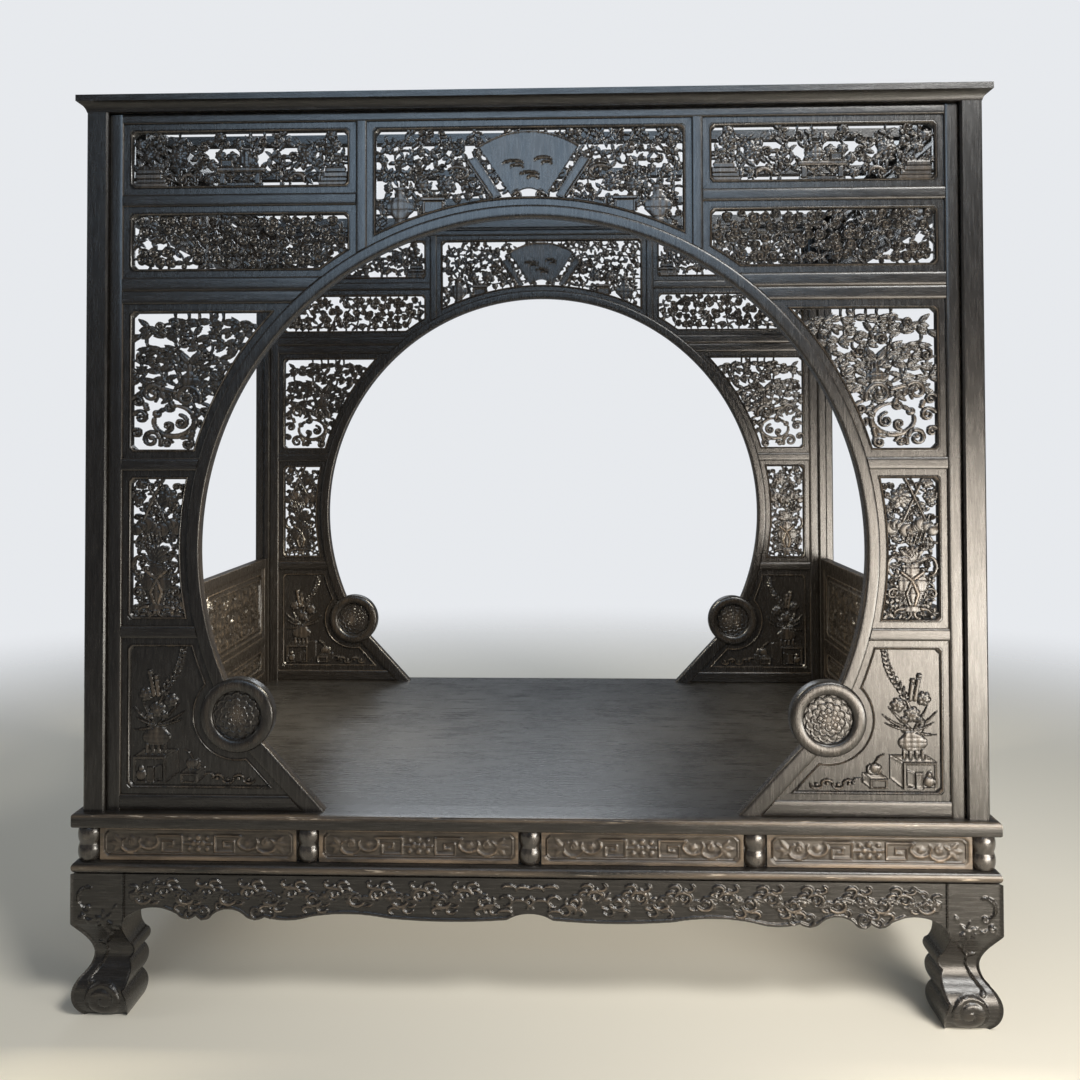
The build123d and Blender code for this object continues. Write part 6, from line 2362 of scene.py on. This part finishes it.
# ================================================================ stage
@dataclass(frozen=True)
class Viewpoint:
    """Where the bed is seen from, with the lens's shift."""

    place: Triple = (0.0855, -3.289, 1.3852)
    yaw: float = -0.0351
    pitch: float = 0.0207
    roll: float = -0.0025
    lens: float = 35.02
    shift: Point = (0.0119, -0.1079)

    def make(self) -> None:
        """Makes the scene's camera."""
        camera = bpy.data.cameras.new("Camera")
        camera.lens = self.lens
        camera.sensor_width = 36.0
        camera.shift_x, camera.shift_y = self.shift
        item = bpy.data.objects.new("Camera", camera)
        bpy.context.scene.collection.objects.link(item)
        right = Vector((math.cos(self.yaw), -math.sin(self.yaw), 0.0))
        ahead = Vector((math.sin(self.yaw) * math.cos(self.pitch), math.cos(self.yaw) * math.cos(self.pitch),
                        math.sin(self.pitch)))
        up = right.cross(ahead)
        turned = right * math.cos(self.roll) + up * math.sin(self.roll)
        upright = up * math.cos(self.roll) - right * math.sin(self.roll)
        pose = Matrix((turned, upright, -ahead)).transposed().to_4x4()
        pose.translation = Vector(self.place)
        item.matrix_world = pose
        bpy.context.scene.camera = item


@dataclass(frozen=True)
class Lamp:
    """A rectangular lamp that the camera doesn't see."""

    name: str
    place: Triple
    target: Triple
    size: Point  # width and height
    power: float  # watts
    colour: Triple
    spread: float = 180.0  # how widely it throws its light, in degrees

    def make(self) -> None:
        """Adds the lamp to the scene."""
        light = bpy.data.lights.new(self.name, "AREA")
        light.spread = math.radians(self.spread)
        light.shape = "RECTANGLE"
        light.size, light.size_y = self.size
        light.energy = self.power
        light.color = self.colour
        item = bpy.data.objects.new(self.name, light)
        item.location = self.place
        item.rotation_euler = (Vector(self.target) - Vector(self.place)).to_track_quat("-Z", "Y").to_euler()
        item.visible_camera = False
        bpy.context.scene.collection.objects.link(item)


LAMPS = (
    Lamp("Warm sheen", (1.7, -3.0, 0.68), (0.95, -0.75, 0.75), (1.1, 1.25), 12.0, (1.0, 0.88, 0.74), 70.0),
    Lamp("Cool top", (-0.2, -4.2, 2.95), (-0.1, -0.75, 2.05), (3.0, 1.3), 7.5, (0.56, 0.77, 1.0), 60.0),
    Lamp("Left edge", (-3.6, -1.2, 2.0), (-0.9, -0.75, 1.2), (0.7, 1.4), 6.0, (1.0, 0.95, 0.88)),
    Lamp("Behind", (-0.6, 4.6, 3.4), (0, 0, 0.7), (2.6, 1.5), 50.0, (0.88, 0.94, 1.0)),
    Lamp("Key", (2.5, -3.9, 4.4), (0.1, -0.9, 0.3), (1.5, 1.2), 200.0, (1.0, 0.98, 0.94)),
    Lamp("Under", (0.0, -0.1, 0.225), (0.0, -0.101, 0.0), (1.7, 1.0), 1.8, (1.0, 0.96, 0.88)),
    Lamp("Low right", (2.6, -2.7, 0.5), (0.0, 0.0, 0.1), (1.0, 0.5), 54.0, (1.0, 0.95, 0.86)),
    Lamp("Left railing", (0.35, -0.25, 1.75), (-1.05, 0.0, 0.72), (0.5, 0.4), 20.0, (1.0, 0.90, 0.70), 70.0),
    Lamp("Right railing", (-0.35, -0.25, 1.75), (1.05, 0.0, 0.72), (0.5, 0.4), 13.0, (1.0, 0.90, 0.70), 70.0),
)


@dataclass(frozen=True)
class Studio:
    """A pale floor and soft lamps round the bed."""

    floor_colour: Triple = (0.92, 0.875, 0.76)
    sky: Triple = (0.80, 0.86, 0.94)
    backdrop: Triple = (0.80, 0.82, 0.85)
    sky_strength: float = 0.17
    floor_reach: float = 14.0
    floor_roughness: float = 0.75
    solid_reach: float = 2.3  # the floor is whole to here
    faded_reach: float = 6.0  # and gone from here on

    def make(self) -> None:
        """Makes the floor, the world and the lamps."""
        reach = self.floor_reach
        mesh = bpy.data.meshes.new("floor")
        mesh.from_pydata([(-reach, -reach, 0), (reach, -reach, 0), (reach, reach, 0), (-reach, reach, 0)],
                         [], [(0, 1, 2, 3)])
        floor = bpy.data.objects.new("floor", mesh)
        material = bpy.data.materials.new("Pale floor")
        material.use_nodes = True
        shader = material.node_tree.nodes["Principled BSDF"]
        shader.inputs["Base Color"].default_value = (*self.floor_colour, 1)
        shader.inputs["Roughness"].default_value = self.floor_roughness
        tree = material.node_tree
        place = add_node(tree, "ShaderNodeTexCoord").outputs["Object"]
        away = add_node(tree, "ShaderNodeVectorMath", {0: place}, operation="LENGTH")
        fade = add_node(tree, "ShaderNodeMapRange", {"Value": away.outputs["Value"],
                                                     "From Min": self.solid_reach,
                                                     "From Max": self.faded_reach, "To Min": 1.0,
                                                     "To Max": 0.0}, interpolation_type="SMOOTHSTEP")
        tree.links.new(fade.outputs["Result"], shader.inputs["Alpha"])
        mesh.materials.append(material)
        bpy.context.scene.collection.objects.link(floor)

        world = bpy.data.worlds.new("World")
        world.use_nodes = True
        tree = world.node_tree
        rays = add_node(tree, "ShaderNodeLightPath")
        mix = add_node(tree, "ShaderNodeMix", data_type="RGBA")
        tree.links.new(rays.outputs["Is Camera Ray"], mix.inputs["Factor"])
        mix.inputs["A"].default_value = (*(c * self.sky_strength for c in self.sky), 1)
        mix.inputs["B"].default_value = (*self.backdrop, 1)
        tree.links.new(mix.outputs["Result"], tree.nodes["Background"].inputs["Color"])
        bpy.context.scene.world = world

        for lamp in LAMPS:
            lamp.make()


def main() -> None:
    """Builds the looks piece by piece."""
    logging.basicConfig(level=logging.INFO, format="%(name)s: %(message)s")
    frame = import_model()
    groups = {"grain": grain_group(), "wear_and_highlight": wear_and_highlight_group(), "dust": dust_group()}
    upright = WoodFinish("Frame wood", (10.0, 10.0, 0.7)).make(groups)
    carved = WoodFinish("Carved wood", (9.0, 9.0, 1.2), wear_and_highlight=0.4).make(groups)
    lengthwise = WoodFinish("Base wood", (0.6, 9.0, 9.0), wear_and_highlight=0.5, chipped=0.9).make(groups)
    waist = WoodFinish("Waist wood", (0.9, 5.0, 5.0), dark=(0.016, 0.012, 0.009), light=(0.052, 0.039, 0.027),
                       rubbed=(0.26, 0.185, 0.12), wear_and_highlight=0.6, roughness=0.34).make(groups)
    turned = WoodFinish("Turned wood", (6.0, 6.0, 1.2), light=(0.040, 0.033, 0.027), wear_and_highlight=0.25,
                        roughness=0.16, streak=0.1, gloss=0.9).make(groups)
    deck = WoodFinish("Deck wood", (0.25, 5.5, 5.5), light=(0.024, 0.023, 0.022), roughness=0.19, streak=0.14,
                      dusty=0.12, gloss=0.4).make(groups)
    finishes = {"deck_": deck, "corner_posts": upright, "end_": upright, "railing_": lengthwise,
                "frieze_": lengthwise}
    for name, node in frame["nodes"].items():
        chosen = next((finish for start, finish in finishes.items() if name.startswith(start)), lengthwise)
        node.data.materials.clear()
        node.data.materials.append(chosen)
    level = WoodFinish("Rail wood", (0.7, 10.0, 10.0)).make(groups)
    MoonGate(GateSizes(), upright, level, carved).build()
    EndWalls(EndSizes(), upright, carved).build()
    BedBase(BaseSizes(), lengthwise, waist, turned).build()
    Viewpoint().make()
    Studio().make()
    bpy.context.scene.view_settings.view_transform = "Standard"


if __name__ == "__main__":
    main()
